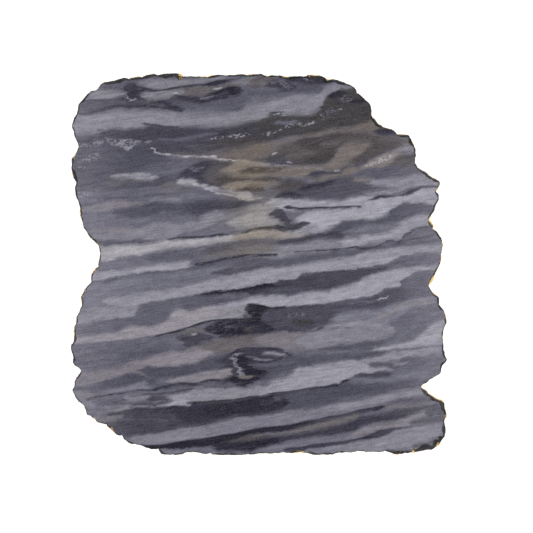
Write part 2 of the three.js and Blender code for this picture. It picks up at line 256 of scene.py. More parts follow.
# Every stratum is "tone style: outline;" and is painted over the ones before it. The outline is a row
# of "x upper lower" in mm on the upper face, or of "x middle" for a seam, which keeps its width.
STRATA_BY_PLACE = {
    "grounds": """
silver+8 ground: -150 160 104, -60 160 110, 0 160 114, 45 140 120, 60 142 136;
slate+4 ground: -150 160 124, -60 160 122, -20 160 120, -6 160 131, 20 160 134, 44 160 140;
slate-6 ground: -150 100 60, -80 100 62, -40 90 70, -10 92 72;
olive+8 dark: 40 121 105, 44 124 106, 48 127 106, 51 131 106, 55 134.5 107, 60 138 108, 66 140.5 108,
  72 142 109, 78 142 109, 90 142 108, 120 130 106;
olive+8 ground: -30 108 98, -20 110 98, -12 114 98, -3 115 98, 6 117 100, 12 121.5 102, 20 121.5 104,
  45 122 105;
slate ground: 60 105 68, 90 106 68, 150 106 66;
pale soft: 14 53 44, 30 52.5 43, 60 51.5 45, 80 55 46, 92 55 46, 100 54 44, 112 55 46, 122 58 49, 130 61 49,
  150 62 46;
silver ground: -3 20 3, 20 19 4, 40 20 6, 70 21 8;
grey+3 ground: -150 -6 -36, -100 -6 -34, -60 -3 -26, -40 -1 -18;
grey ground: -150 -20 -36, -110 -20 -34;
dark+2 soft: -6 -32 -58, 10 -32.5 -56, 20 -33 -54, 40 -31.5 -53, 50 -31 -52, 56 -31 -46, 64 -36 -41;
slate+8 ground: -160 -62 -86, -110 -62 -84, -75 -64 -78;
slate+12 ground: 84 -76 -94, 100 -76 -95, 160 -72 -92;
dark ground: -110 -112 -138, -80 -112 -137, -56 -110 -134, -30 -106 -128, 10 -104 -124, 40 -100 -118,
  70 -95 -112, 90 -94 -108, 104 -94 -104;
slate-2 soft: 96 -93 -104, 106 -93 -103, 120 -92 -101, 132 -91 -99;""",
    "upper left corner": """
slate mottled: -118 148 145, -112 149.5 143, -104 149 146, -92 150 147.5, -80 152 149, -70 153.5 149,
  -60 150.5 147.5, -50 150.5 148.5, -40 151 149.5;
silver+2 soft: -92 147 143, -80 148.5 140.5, -60 148.5 143.5, -40 149.5 146, -25 150.5 149;
silver+6 soft: -139 133 131.5, -130 139 132, -120 139.1 132, -112 138.6 133.2, -107 138 133.5;
slate+2 mottled: -119 146 141, -112 146.5 142, -104 147 143.5;
slate-4 soft: -106 136 128, -98 136 128, -90 138 128, -84 137 127.5, -76 133 128;
charcoal mottled: -107 143 138, -104 145 131, -100 145 131, -96 143 132, -93 141.5 135, -89 139 136;
brown+4 mottled: -68 141 137, -60 141.5 135.5, -50 142.5 134.5, -40 142.5 136.5, -30 144 141, -20 147 142,
  -10 150 143, 0 149 141;
brown+2 soft: -84 138 131, -74 138 132, -62 136 131;
silver mottled: -90 138 133, -80 138.5 132.5, -70 139.5 134, -62 139 136.5;
dark+6 soft: -144 128 120.5, -135 130.5 120, -125 130.5 123, -115 131.5 126.5, -105 130 126,
  -95 130.5 126.5, -85 130 127;
charcoal-6 crisp: -92 141.8 140.6, -86 140.3 138.8, -82 139.9 138, -78 140.1 138.9, -70 141.6 140.4,
  -60 142.8 141.5, -50 144 142.7, -42 145 143.2, -38 146.5 142.8, -34 147.8 143.2, -30 147.9 144.5,
  -24 148.2 146, -18 149 147.2, -14 150 148.6, -9 151 150;
charcoal+4 ragged: -67 135 130.5, -62 136 130, -56 135 130, -50 134.5 129.5, -46 134 129;
silver-4 haze: -14 150 143, 0 151 142.5, 12 150.5 144;
ink+4 mottled: -44 135.6 134.2, -40 136.8 134.6, -36 138.4 135, -32 139.8 135.4, -28 141 135.8,
  -24 142.8 135.5, -20 142.6 134.8, -16 141.5 136, -13 140.2 138;
ink+6 ragged: -47 132.5 130.2, -42 132 130.3, -38 133.5 131, -32 134.8 132.5, -26 135.5 133.5;
grey crisp: -46 133.8 132.6, -42 134.5 133, -37 135 134;
calcite vein: -36 140.6 140.1, -33 141.6 140.6, -29 141.2 140.8;
calcite vein: -68 137.4 136.2, -65 137.3 136.1;
slate soft: -73 132 130, -68 134.5 131, -64 133 130, -61 131 130;
charcoal-2 soft: -84 131.3 129.5, -78 131.5 128, -74 131.2 126.5, -70 129.8 124, -66 127.5 123,
  -62 126 122.7, -60 125 123.5;
mid+8 haze: -92 74 69, -78 77 71, -64 82 75.5, -50 86 80.5, -38 87.5 83.5;
charcoal seam: -140 130, -137 130.7, -132 131.2, -127.7 130.9, -121 131.2, -115 132.1, -109.4 132.8,
  -107 131.6, -105 130.5, -99 130.7;
pale vein: -106 134.4 133.6, -104 132.2 131, -102 131.8 130.9, -99 132.3 131.6;
charcoal+4 seam_wide: -143.7 120, -137 119.6, -133 121.4, -126.6 122.9, -121 124.9, -114 126.3,
  -109.4 126.7, -106 125.8, -100.3 125.9, -94.6 126.5, -90 127.2, -85.4 126.5, -79.7 125.7, -74 125.2,
  -69.4 123.6, -62.6 122.9;
slate+2 haze: -22 125.5 122, -18 126 122.5, -10 130 124.5, -2 134 127, 6 136 130, 14 137 133.5, 20 137 135;
mid haze: -62 119.5 117.5, -52 119.5 117, -42 120 118;
slate mottled: -9 143 140.5, -4 143.5 141, 0 143.5 141.5;""",
    "upper right corner": """
brown-4 mottled: 0 150.5 142, 5 151 142, 9 151 143;
slate soft: 28 141 137, 36 143 136.5, 46 143 136, 54 141 137;
silver-4 soft: 54 141 138, 60 145 139, 66 146 140.5, 72 144 141, 76 142.5 141.5;
charcoal+8 mottled: 8 145 143, 12 147 141, 16 147.5 140, 20 147.3 138.8, 24 146.5 138.2, 27 145 139.5,
  29 143.5 142;
charcoal mottled: 18 150.3 148.5, 24 151 147, 30 151 146, 36 149.5 144.8, 42 149 144.3, 50 149 143.8,
  56 148 145, 60 147.5 146.4;
grey seam: 12 145.6, 15 145.9, 18 144.6, 21 142.4, 23 140.8;
mid+4 seam: 17 147, 21 145.6, 24 143.2, 26 140.8;
light-4 specks: 35 149.5 148, 42 149 147.5, 50 148.5 147.5;
light-14 soft: -34 119 116, -18 122 114.5, -2 125 115.5, 5 126.5 118.5, 10 128 122, 16 130 122,
  20 132 120.5, 30 133 120.3, 38 134 119.8, 44 134.5 121, 48 135 124, 51 138.7 128, 53 139 132, 58 140 136,
  64 141.5 139.5, 70 142 141;
charcoal crisp: 10 121.3 120.2, 14 122 120.8, 20 122.3 121.2;
light+4 specks: 16 121.5 118.5, 24 121.5 119;
ink+8 mottled: 57 136 134, 60 138 133, 64 139 134, 68 139 136;
ink+8 mottled: 74 132 130, 78 133 129, 83 131.5 129.5;
mid specks: 67 134 130, 70 136 128, 74 134 130;
mid specks: 54 124 119, 58 126 118, 61 124 120;
calcite vein: 64 125 124, 67 124.9 124.1;
light vein: 50 121.5 120.5, 51.5 119 117.5, 54 116.2 115.4;""",
    "the dark band with its calcite, left": """
dark-4 soft: -150 101.7 95, -147 101.7 95.5, -140 101.7 95.5, -134.6 102.8 96, -130 103.4 98, -127 104.3 99,
  -123 107 99, -119.7 107.9 98, -117.4 109 98, -113 109.3 98, -106 108.3 98, -101.4 109 98, -96.9 109.3 98,
  -92 109.6 98, -85 112.3 99, -79.7 111.5 99, -74 110.6 98, -69.4 110.1 98, -62.6 110.3 98, -57 109.6 98,
  -51 110 98, -45.4 110 99, -39.7 109.4 100, -33 108.8 100, -25 108.5 100, -20.3 109.3 100, -17 110.2 100,
  -13.4 111.6 100, -9.8 112.7 100, -5.4 113.3 100, 3 113.8 100, 14 114 102, 24 113 104;
charcoal+6 haze: -150 102 95, -140 101.5 95, -131 102 97;
charcoal+4 seam: -91.7 112.6, -85 111.9, -79.7 111, -74 110.2, -66 110;
charcoal seam: -129 107.6, -125 107.7;
slate+6 crisp: -79 100.8 99.3, -70 100.5 98.6, -62 102 98, -52 103.6 99.5, -42 104.9 102, -34 105.6 104.2;
dark+2 mottled: -82 98 92, -70 98.3 89, -60 98 88, -50 99 88.5, -40 101 90, -30 101 91.5, -20 101 92.5,
  -10 101 94, 0 100 96;
umber-2 haze: -34 100 92, -20 101 92.5, -10 101 94, 4 101 96;
silver-4 specks: -144 96.5 93, -137 96.5 93, -131 97 94;
silver specks: -134 98 93.5, -129 102 95, -124 102 97;
silver+6 specks: -118 101 97, -112 100 95, -107 100.5 92, -102 101 93, -99 99 95;
light vein: -119 99.6 98.6, -116 97.8 96.4, -113 97 95.4, -109 99 97, -106 100 98.6;
light vein: -109 97.6 95.6, -106 95 92.5, -103.5 94 91.4, -101.5 96.5 94.5;
silver+6 vein: -103 99 98, -101 101 99.4;
silver vein: -98 99 97.8, -95 99 98.2;
silver+4 vein: -91 97.5 96.5, -89 98.6 97, -87 99 98;
light-4 specks: -139 84.5 82.6, -135 87.5 83, -131 88.7 83.8, -127.5 88.2 85.2;
silver vein: -144 82.6 81.4, -140 82.3 81.5;
silver-4 specks: -143 79 76, -138 79 76.5;
tan+4 haze: -62 89 84, -50 89 84, -40 89.5 83.5, -30 90 83, -20 92 82.5, -10 94 82, 0 96 84;
light+2 specks: -36 101.5 100, -28 102.8 101, -22 103.8 102, -17 105.5 100.6, -13 105.4 101.3,
  -9 104.4 102.8;
calcite vein: -86 94 93, -84.9 94 92.6, -82.6 91.8 90.4, -79.7 90.2 88.7, -76.3 88.9 87.4, -71.7 88.1 86.7,
  -66 87.6 86.3, -62.6 87.2 85.9, -58 87.7 85.9, -53.4 87.7 86.2, -46.6 87.2 85.9, -39.7 87 85.6,
  -34 86.9 85, -31.7 85.3 83.6, -27 84.8 83.3, -19 84.1 82.6, -12.3 83.6 81.7, -7.7 82.3 80.1, -4.3 81 79.9;
mid haze: -84 80 74, -76 83 72, -70 85.5 71, -62 86 72, -56 85.5 78, -50 84 81;
charcoal+8 soft: -64 70 69, -60 74 70.5, -55 79 69.7, -50 82 68.5, -44 83.5 64.5, -36 83.5 62.3,
  -30 82.5 61, -24 80 64;
brown haze: -30 82 62, -20 80 64, -8 78 66, 4 76 67;
mid vein: -53 78 75, -49 77 74.6;
mid+4 vein: -47 78.4 77, -43 78.6 77.4;""",
    "the brown heart of the slab": """
olive+10 mottled: 9 118 100, 14 118 101, 24 117 103, 36 117 104, 46 119 105;
grey-4 mottled: 14 114 112.2, 22 114.8 112.4, 30 114.4 112.8;
tan-2 soft: 0 96 88, 10 97.3 92, 20 99.8 96, 30 102 98.5, 40 104 101, 48 106 103, 56 107.8 104.6,
  66 109 105.5, 76 110.5 105.5, 86 114 105.8, 92 115 106;
light+6 specks: 5 105.5 103.5, 13 107 105, 17 108.7 106.7, 20 110.5 108.5, 24.6 112 109.6, 29 113.4 110.8,
  33 113.4 110.8, 40 114 112, 44 115 113, 46 117.5 116;
umber soft: 10 88 80, 18 95 78, 26 97 78.3, 36 99.5 79, 46 102 80, 56 104 83, 60 104.3 87, 66 104.5 93,
  78 104.5 97, 90 104 97;
brown-2 haze: 18 96 88, 26 97 88, 34 97 89, 42 97.5 92;
dark+6 soft: 13 86.5 80, 18 87 78.5, 24 86 78.6, 28 84 79;
olive+6 mottled: 34 101 94, 42 102.5 93, 50 102.5 94;
olive+8 mottled: 45 88 80, 52 89 80.5, 58 90 84;
brown mottled: 24 87.5 84.5, 30 89 85, 36 89.5 86.5, 44 91 89;
brown+6 mottled: 52 97.5 95, 58 98.6 95.4, 64 99 96.6;
umber+14 seam: 20 90, 22 93.6, 27 95.8, 33 95.6, 37 93, 36 90.2;
umber+14 seam: 24 91, 27 93, 31 93.2, 34 91.6;
umber+12 seam: 38 95, 44 98.6, 52 100.6, 60 101.6;
umber+10 seam: 40 86, 46 89.6, 54 93.6, 62 95.6;
mid+4 specks: 54 99 95.5, 59 99 95.5, 64 98 96;
calcite vein: 11.4 89 88, 13 89 88.2;
silver+10 vein: -6 81.8 80.4, 2 81.2 79.6, 10 80.2 78.8, 18 79.8 78.6, 26 79.2 78.2;
calcite vein: 23 82 81, 25 82 81.2;
umber+3 soft: 60 104.5 98, 70 105 97, 80 104.5 96, 90 104 96, 100 103 95.5, 110 98 95, 118 97 95.8;
brown-2 haze: 68 101.5 97, 84 102 97.5, 100 101 97, 116 99 95;
brown+2 seam: 74 106, 86 105.2, 98 103.4, 110 101.6, 120 100;
brown-3 soft: 78 106 103.8, 88 105 102.6, 98 103.6 101, 108 102.4 99.4, 118 100.6 97.4, 126 99 96;
charcoal-2 mottled: 94 108 105.5, 100 109 104.5, 106 109 104, 112 107 104;
tan+4 soft: 9 77.5 72, 16 78.4 70, 22 78 69.5, 30 78.2 69, 40 78.8 70, 46 79.5 71.5, 52 80 74, 58 84 75,
  62 90 75.5, 68 95 79, 78 97.3 85, 84 97.2 90, 90 96.5 93.5;
silver+6 specks: 30 78.6 77.2, 38 78 76.6, 46 77.6 76.2, 52 77 75.8;
umber+5 soft: 66 77 76, 72 81 79, 78 86 80.2, 84 91 82, 90 95.5 85, 96 96.5 88, 104 96 91.5, 112 95.5 94;
sand+3 soft: 84 78.5 74.5, 88 82 75.3, 92 84.5 76, 98 87 77.3, 104 89.5 79.8, 110 91 83.8, 113 90.5 87;
calcite-6 specks: 88 81 78.5, 94 83.5 80, 100 86 82, 106 88 84.5;
rose+8 soft: 108 91 90.5, 114 94 90.8, 120 96 89.5, 125 95.5 89.5;
umber+5 soft: 104 78.4 79, 108 82.4 78, 112 85.4 77.5, 118 87.4 77, 125 87.9 78, 132 88 78;
brown-2 haze: 116 83 74, 134 84 74;""",
    "above the middle, left": """
light+6 mottled: -118 71 69.5, -110 72 68.5, -100 72.5 68.5, -92 73 67.5, -86 72.5 67.8, -82 71 69.5;
brown+8 haze: -125 63.5 61.5, -120 67 62, -105 69 64, -90 68 65.5;
slate-4 mottled: -118 61 58.5, -108 63.5 58, -100 66 58, -92 66.3 59, -84 66.5 61, -76 70 65, -70 71 67.5;
brown+14 haze: -78 62 59, -72 66 58.5, -66 66 60, -60 64 61, -54 63 61.5;
umber-2 soft: -30 70 65.5, -16 70 65.5, 0 70 66, 16 69 66;
tan+14 soft: -28 76 73, -22 80 71.5, -14 84.5 70.5, -6 82.5 70, 0 81.5 70;
umber mottled: -13 77 73, -9 77.5 73, -5 76.5 73.5;
sand soft: -26 64 60, -18 66 59, -8 66.5 60.2, 0 66.5 61.7;
umber mottled: -14 61 57, -6 62 57.5, 2 61 58;
light+4 ragged: -65 66 65, -62 69 64.2, -58 68.5 63.8, -54 68.7 63.9, -50 67.5 63.1, -48 64.5 62.1,
  -44 64.7 62.5, -40 63.2 61, -36 62.4 59.5, -32 60.7 59, -28 59.2 58.8, -24 58.7 57.7, -20 58.2 56.2,
  -16 58.2 54.4, -11 58.6 52, -7 57.9 51.6, -4 55 52, 0 54.5 52.5;
calcite-10 vein: -64 68 66, -56 67.4 65.2, -50 65.6 64, -42 62.8 61.2, -34 58.6 57.2, -26 56.4 55,
  -18 55.4 53.4, -12 55 52, -6 53.9 51.4;
light-4 specks: -148 57 54, -144 58.5 53.6, -140 58 54.5, -136 58 55.3, -131 57.5 56;
mid-2 seam: -112 59.4, -100 59.8, -90 60.6, -82 61;
mid+6 seam: -120 57.5, -106 58, -94 58.2, -84 59;
rose-6 light: -142 45.5 42, -132 48 41.5, -124 50 42.3, -116 51 43.8, -108 50.5 45.2, -100 50 46.8,
  -90 49.8 48.8;
slate-4 seam: -141.4 46.8, -134.6 48.1, -126.6 49.9, -121 52.1, -114 53.2, -106 53.7, -97 53.9, -90 54.8,
  -83 55.7, -76 56;
grey-6 soft: -144 42 28, -130 41.5 28, -120 43 28, -108 45 29, -98 46.5 29.5;
slate-6 soft: -112 44.5 39.5, -104 45.5 37.5, -96 47 37.5, -88 49 39, -80 50 40.5, -66 49.8 41, -60 50 41,
  -50 51 40, -44 51 41, -40 51 43, -34 51 42.5, -28 51 43.5, -20 51 44, -14 51 46, -8 51 48.5, -2 51 50;
charcoal+6 haze: -46 50.5 40, -30 51 44, -16 51 46, -4 51 50;
silver-2 soft: -86 52 51, -78 53 51, -72 53.3 50.8, -66 52.5 50.5, -61 51.3 50.3;
grey soft: -62 55.5 55, -54 56.3 54.8, -46 56 54.6, -42 55.3 54.8;
silver specks: -54 45.2 43.8, -50 45 44;
silver-4 specks: -78 42.7 41.3, -74 42.6 41.6;
grey specks: -68 38.4 36.4, -61 38.2 36.6;
light-6 soft: -20 36 32, -14 42 33, -8 46.5 35, 0 48.5 35, 8 49 36;
grey+3 soft: -40 41 33, -30 42 33, -20 43 34, -12 44 34;""",
    "above the middle, right": """
umber mottled: -3 78 73, 8 78 73.4, 16 77 74;
slate-2 soft: 70 72 70, 72 73 69.9, 80 75 69.7, 88 76.5 69, 96 77 68.5, 112 77.5 74;
umber+2 soft: 18 65.5 57, 22 68 54, 28 68.5 53.5, 31 68 54;
tan+2 soft: 44 69 66.5, 50 69.8 66.3, 56 71.5 67.7, 62 72.8 69, 66 74.5 69.6, 70 77 70, 74 79 71.5;
charcoal+10 ragged: 36 70 69.5, 38 71 69.5, 44 74.5 69.8, 50 75 71, 56 74 73, 60 75 73.3, 64 74 73;
calcite vein: 61 75.6 74.4, 64 75.5 74.6;
slate-4 soft: 18 66 65, 24 67 66, 32 67 66.2, 38 66.5 65.8;
tan soft: -3 66 61, 8 66 62.5, 14 65 64;
sand soft: 78 69.5 66, 84 70 66, 90 69 67;
mid-2 haze: 88 76 68, 110 77 68, 134 78 72;
silver+8 light: 84 60 57, 90 66.8 56, 98 67.7 56.5, 106 68.5 57, 114 69.3 58.5, 120 70.5 61, 126 72 62.5,
  134 72 63.2, 142 69 63.5;
dark+8 soft: 16 54.5 54, 20 58 53.2, 26 59.5 53, 34 61.5 52.3, 40 63.5 52.3, 46 65 52.2, 52 65.8 51.8,
  58 67.5 51.4, 64 69 51.3, 70 69.6 52.2, 76 69 54.5, 80 66.5 56, 86 65 57.5, 94 62.3 58.5, 104 61.5 60,
  110 61 60.6;
charcoal+2 mottled: 16 55.5 53.5, 20 57.5 53.6, 26 58 53.4, 31 57 53.6;
ink+6 soft: 34 61.4 59.6, 40 63.3 60.4, 46 64.8 61.6, 52 65.6 62.8, 58 67 65;
slate haze: 56 58 52, 66 60 52, 76 64 55, 84 62 57.5;
charcoal crisp: 89 52.5 51, 93 54.5 52, 97 55.5 53.3, 105 55.2 53.8, 113 56 54.7, 120 59.5 56,
  126 61.5 58.5, 131 63 61, 138 63 61.5, 144 63 61.8;
light haze: 18 51 46.5, 40 50.5 46.5, 60 50 47, 80 50 47.5;
pale+2 soft: 40 42 30, 50 43 27, 60 44 31, 70 45 36, 80 45 36, 88 47 36, 94 49 36.5, 100 50 40, 108 51 46;
charcoal crisp: 23 47.2 44.8, 28 46.2 43.6, 34 45.5 43, 40 46 43.6, 46 46.6 44.3, 52 46.7 44.6,
  58 46.3 44.3, 64 46.8 44.8, 70 47.3 45.3, 76 47.6 45.7, 80 47 45.4;
slate-4 ragged: 56 25.5 21, 60 28.5 20.8, 64 31 20.8, 68 34.5 21.5, 72 35.2 25.5, 80 35 28.5, 86 34.8 30.5,
  92 35 31.8, 98 36.5 32.6, 103 38.5 33.2, 106 43 33.4, 110 46 34, 116 49.3 35.5, 120 49.8 37, 126 48.8 39,
  134 48.6 41.5, 142 47 42;
grey-2 soft: 70 27 25.5, 78 29.5 25.5, 88 31 26, 100 32.5 28, 114 34 32;
sand+10 soft: -3 40 31, 6 41 31, 12 40 31, 18 36 31;
light-2 soft: 14 31 24, 24 32 22, 36 32 22, 48 30 25;
charcoal+14 ragged: 3 38 36, 8 40.5 34.5, 12 44 33.5, 15 45 33, 18 44.5 32.5, 21 41 31.5, 24 37 30.5,
  27 33.5 30;
umber+10 haze: -6 33 27.5, 6 33.5 26.5, 18 32 26;
charcoal+8 crisp: 14 32 28.4, 18 31 27, 23 30.6 26.6, 28 31.4 27, 33 33.4 28.4, 37 34.6 30.4, 39.4 34 32;""",
    "the middle, left": """
rose-8 light: -132 28.5 25.5, -118 29 25, -108 29.5 25, -98 29.3 24.5;
slate soft: -127 24.5 22.5, -122 24.8 22.5, -117 24.4 22.6;
silver soft: -132 25 21, -118 25 20, -106 26 19.5, -96 29 20, -88 31.5 19, -80 33 19.5, -72 33.5 20.5,
  -64 32.5 22, -56 34 24.5, -48 36 26, -40 39 28.5, -34 42 31;
mid+4 ragged: -66 23 21.5, -56 26 22, -46 28 23, -36 32 24.5, -28 36 26, -22 37 27.5, -17 32 27;
light+2 soft: -20 36 30, -10 40 29, 0 41 30, 10 38 31;
calcite-8 light: -132 15 2, -120 14.5 3, -115 15.2 4.5, -110 15.6 6, -104 16 7, -96 16 7.5, -88 17 8.3,
  -80 18 8.1, -74 19.2 10.1, -68 19.8 11.6, -60 20.3 11.8, -52 20.8 12.4, -46 21.2 13.1, -40 21.5 14.1,
  -34 22.3 16.5, -28 23 17.3, -22 23.5 18.5, -16 24 19.7, -10 25 20.3, -4 26.2 20.8, 2 27 20.8;
sand+12 soft: -16 23.5 19.7, -6 26 20.5, 0 27 20.5, 10 27.5 20.3, 20 27 20, 30 25 21, 38 24.6 23;
slate-6 soft: -132 19 15.5, -122 19.5 15, -116 19 16.5, -108 19 17, -100 19.5 16.8, -95 19.8 16.5,
  -90 19.2 17, -85 18.6 18, -82 18.8 18.3;
charcoal crisp: -72 20.5 20, -66 21.8 20.3, -58 22.5 21, -50 23 21.5, -44 23.2 21.5, -40 23.5 21.8,
  -36 24.5 22.5, -30 25.2 23, -24 24.8 23.5, -18 24.8 24, -12 26 24.8, -6 28 26.3;
umber+2 crisp: -10 27 25.6, -6 28 26.3, 0 29.5 27.5, 8 30.5 27.5, 14 29.5 27.8, 20 28 26.5;
grey-3 soft: -132 2 -4.5, -120 3 -3.8, -110 6 -2.8, -100 7.3 -2, -92 8 -1, -84 9 0, -76 11 0.8, -68 13 1.5,
  -62 13.1 2.5, -56 13.5 4, -50 14 5, -44 14.8 5.8, -38 15.8 6.8, -32 16.8 8.5, -26 17.8 10, -20 19 11.5,
  -14 20 12.8, -8 20.5 14, -2 20.8 15, 6 20.4 15.2, 14 20 15.5, 22 19.8 16.3, 30 21 17;
slate-8 haze: -78 13 2, -68 13.5 2, -56 14 4, -44 15 5.8, -34 16.8 8;
umber+4 haze: -34 17 9, -20 19 11.5, -8 20.5 14, 6 20.4 15.2, 18 20 16;
mid+6 vein: -40 16 14, -38 15.6 13, -35 15.4 13.6;
mid+6 vein: -54 10 9, -50 12 10, -43 13.4 12;
brown+12 soft: -42 7 4.5, -36 8.5 5.3, -30 10 5.9, -22 11.5 6.5, -14 13 7, -6 14.5 8, 0 15 8.8, 8 15.2 9.8;
light+8 light: -138 -6 -12.5, -124 -6 -12, -117 -5 -9.8, -108 -4.5 -8.8, -100 -3 -7.5, -92 -1.5 -6.7,
  -84 -0.5 -5.5, -76 0.5 -5.2, -68 1 -4.5, -62 2 -3.7, -56 2.5 -2.8, -52 0 -2.3;""",
    "the middle, right": """
dark ragged: 18 19.8 16, 28 20.8 16.6, 34 22.5 17.3, 40 24 18.5, 46 24.7 20, 52 24.9 20.5, 58 25.5 20.8,
  63 26 21;
slate soft: 74 22.5 21.5, 78 24 22, 84 25 23, 88 24.5 23.5;
light+8 soft: 72 21 15, 80 22 15.5, 86 24 16.5, 92 23.4 17.6, 98 24.9 19, 104 26.9 20, 110 29.4 20.3,
  116 35 22.5, 120 36.8 26, 124 38.3 28.8, 128 39.5 30, 134 40 30.8, 142 38 31;
mid-4 soft: 96 16 13, 102 18 13.4, 108 19 14, 112 18.6 14, 116 22 15, 120 25 15.5, 126 28 16, 134 29 16.5,
  150 30 18;
slate soft: 60 12.6 9, 80 13 9.6, 100 14 12.4;
dark+4 seam: 104 17.6, 114 18.4, 124 20.4, 136 22;
slate seam: 108 15.8, 120 17, 132 18, 144 19.6;
charcoal seam: 30 9.7, 37 10, 44 11, 50 11.3, 57 12, 63 12.8, 70 13.5, 77 14.2, 82 13.3, 86 12.9, 92 14,
  97 15.5, 100 17, 103 19, 107 19.4, 110 18.6, 112 18.4, 115 20.4, 118 23.5, 122 25.8, 125 28.2, 131 29.5,
  142 30.2;
slate soft: -3 5.5 -5, 10 4.5 -3.8, 20 5 -2.3, 30 7 -0.7, 40 8.5 0.5, 50 9.5 2, 60 10 3.5, 70 10 4.8,
  80 9.5 5.9, 90 10.5 7.5, 98 12 9.5;
light+5 soft: 84 9 -2, 96 10.5 -0.6, 104 12 3, 112 13 6, 120 13.8 7.4, 128 14.3 9, 136 14.5 9.8, 150 16.5 8;
slate+8 ragged: 82 -2.5 -4, 90 -1.5 -4.5, 96 -0.3 -5, 102 1.5 -4.8, 106 4.2 -4, 110 5.5 -3.5, 118 7 -1.8,
  126 8.8 -0.5, 132 9.5 0.3, 138 9.8 0.5, 142 9 0.5, 150 8 1;""",
    "below the middle, left": """
slate+2 ragged: -138 -13 -15, -124 -12.5 -14.5, -118 -10.5 -14.5, -112 -9.8 -12, -104 -9 -10.8,
  -96 -7.6 -9.5, -88 -6 -8.5, -80 -5.5 -7.5, -72 -5 -7, -64 -4.2 -6, -58 -3 -5.5, -52 -1.5 -4.5,
  -46 -0.5 -3.5, -40 0.5 -2;
slate+4 soft: -52 1 -3, -44 1.5 -3, -36 2.5 -2, -28 4 -1, -20 5 -1, -10 6 -1, 0 7 -1;
dark+4 mottled: -36 -6 -8, -28 -4.5 -8.2, -20 -3.5 -7.2, -12 -2.5 -5.5, 0 -2 -5;
mid-6 haze: -106 -19 -22, -98 -18.5 -22, -88 -18 -21;
mid-4 haze: -74 -8 -18, -60 -7 -17, -44 -6 -14;
charcoal-6 seam_wide: -48.9 0, -42 1.3, -36 2.2, -29 4, -22.6 5.1, -14.6 6.4, -6.6 7.5, 0 7.5, 8 7.9,
  13 8.1;
dark+2 ragged: -46 -22.5 -33.6, -34 -20.6 -31.8, -28 -20.2 -30.9, -21 -19.8 -29.1, -13 -18.8 -27.8,
  -7 -17.6 -26, 0 -16 -24.7, 6 -14.8 -24.7, 18 -12 -24.2, 27 -12 -25, 34 -9 -23.5, 40 -7 -22.3,
  48 -6.3 -21.3, 56 -5.6 -20.5, 62 -5 -18.4, 68 -4.3 -16.4, 74 -3.5 -14.4, 80 -2.6 -12.4, 86 -1.8 -10,
  92 -1 -8, 98 0 -6.4;
mid-8 soft: -69 -26.6 -33.6, -62 -25.6 -34.5, -56 -24.5 -37, -51 -23.8 -36.7, -45 -22.5 -33.6, -38 -21 -32;
charcoal+12 haze: 4 -15 -24, 20 -12 -24, 36 -8 -22;
mid-4 soft: -100 -40 -44, -97 -34.5 -47, -93 -31.8 -48.6, -88 -30.6 -48.6, -80 -29.6 -47.6, -74 -29 -43,
  -70 -28 -38;
ink+6 dark: -46 -22.5 -24.4, -38 -21 -24.4, -30 -20.3 -24.4, -22 -20 -23.8, -16 -19.4 -22.8, -8 -18 -21.8,
  0 -16 -21.3, 6 -14.8 -19.4, 14 -15.5 -18;
mid-2 mottled: -27 -23 -28.6, -18 -22.6 -28, -10 -22.6 -27;
slate-4 mottled: 12 -19 -23, 20 -18.5 -22.8, 28 -19 -22.5, 34 -20.5 -22.5;
light light: -122 -27.5 -30.5, -110 -26 -33.5, -100 -25 -34, -94 -23.5 -32, -88 -22.3 -30.5,
  -80 -21.5 -29.5, -74 -21 -28.5, -68 -20.2 -27, -60 -18.5 -25.5, -52 -16 -24, -46 -14.5 -22.5,
  -38 -12.8 -20.8, -30 -11.3 -20.2, -22 -9.5 -19.8, -16 -8 -19.3, -10 -6.8 -18.2, -4 -5.7 -16.8,
  2 -4.6 -15.2, 6 -4 -14.6, 12 -3.2 -14.8, 15 -2.9 -12.8, 18 -2.6 -11.5, 24 -1.7 -12, 28 -1.2 -11.8,
  31 -0.8 -10.5, 33 -0.4 -9, 36 0 -6, 42 1 -5.7, 50 2 -5, 58 3.3 -5.3, 66 4.5 -4.5, 74 5.5 -3.5,
  82 6.8 -2.3, 90 8.5 -1.3, 96 10.5 -0.3, 104 12 2;
light+8 haze: 0 -5 -12, 12 -4 -10.5, 30 -2 -5.5, 50 2 -2.5, 80 6 -1, 96 9 0;""",
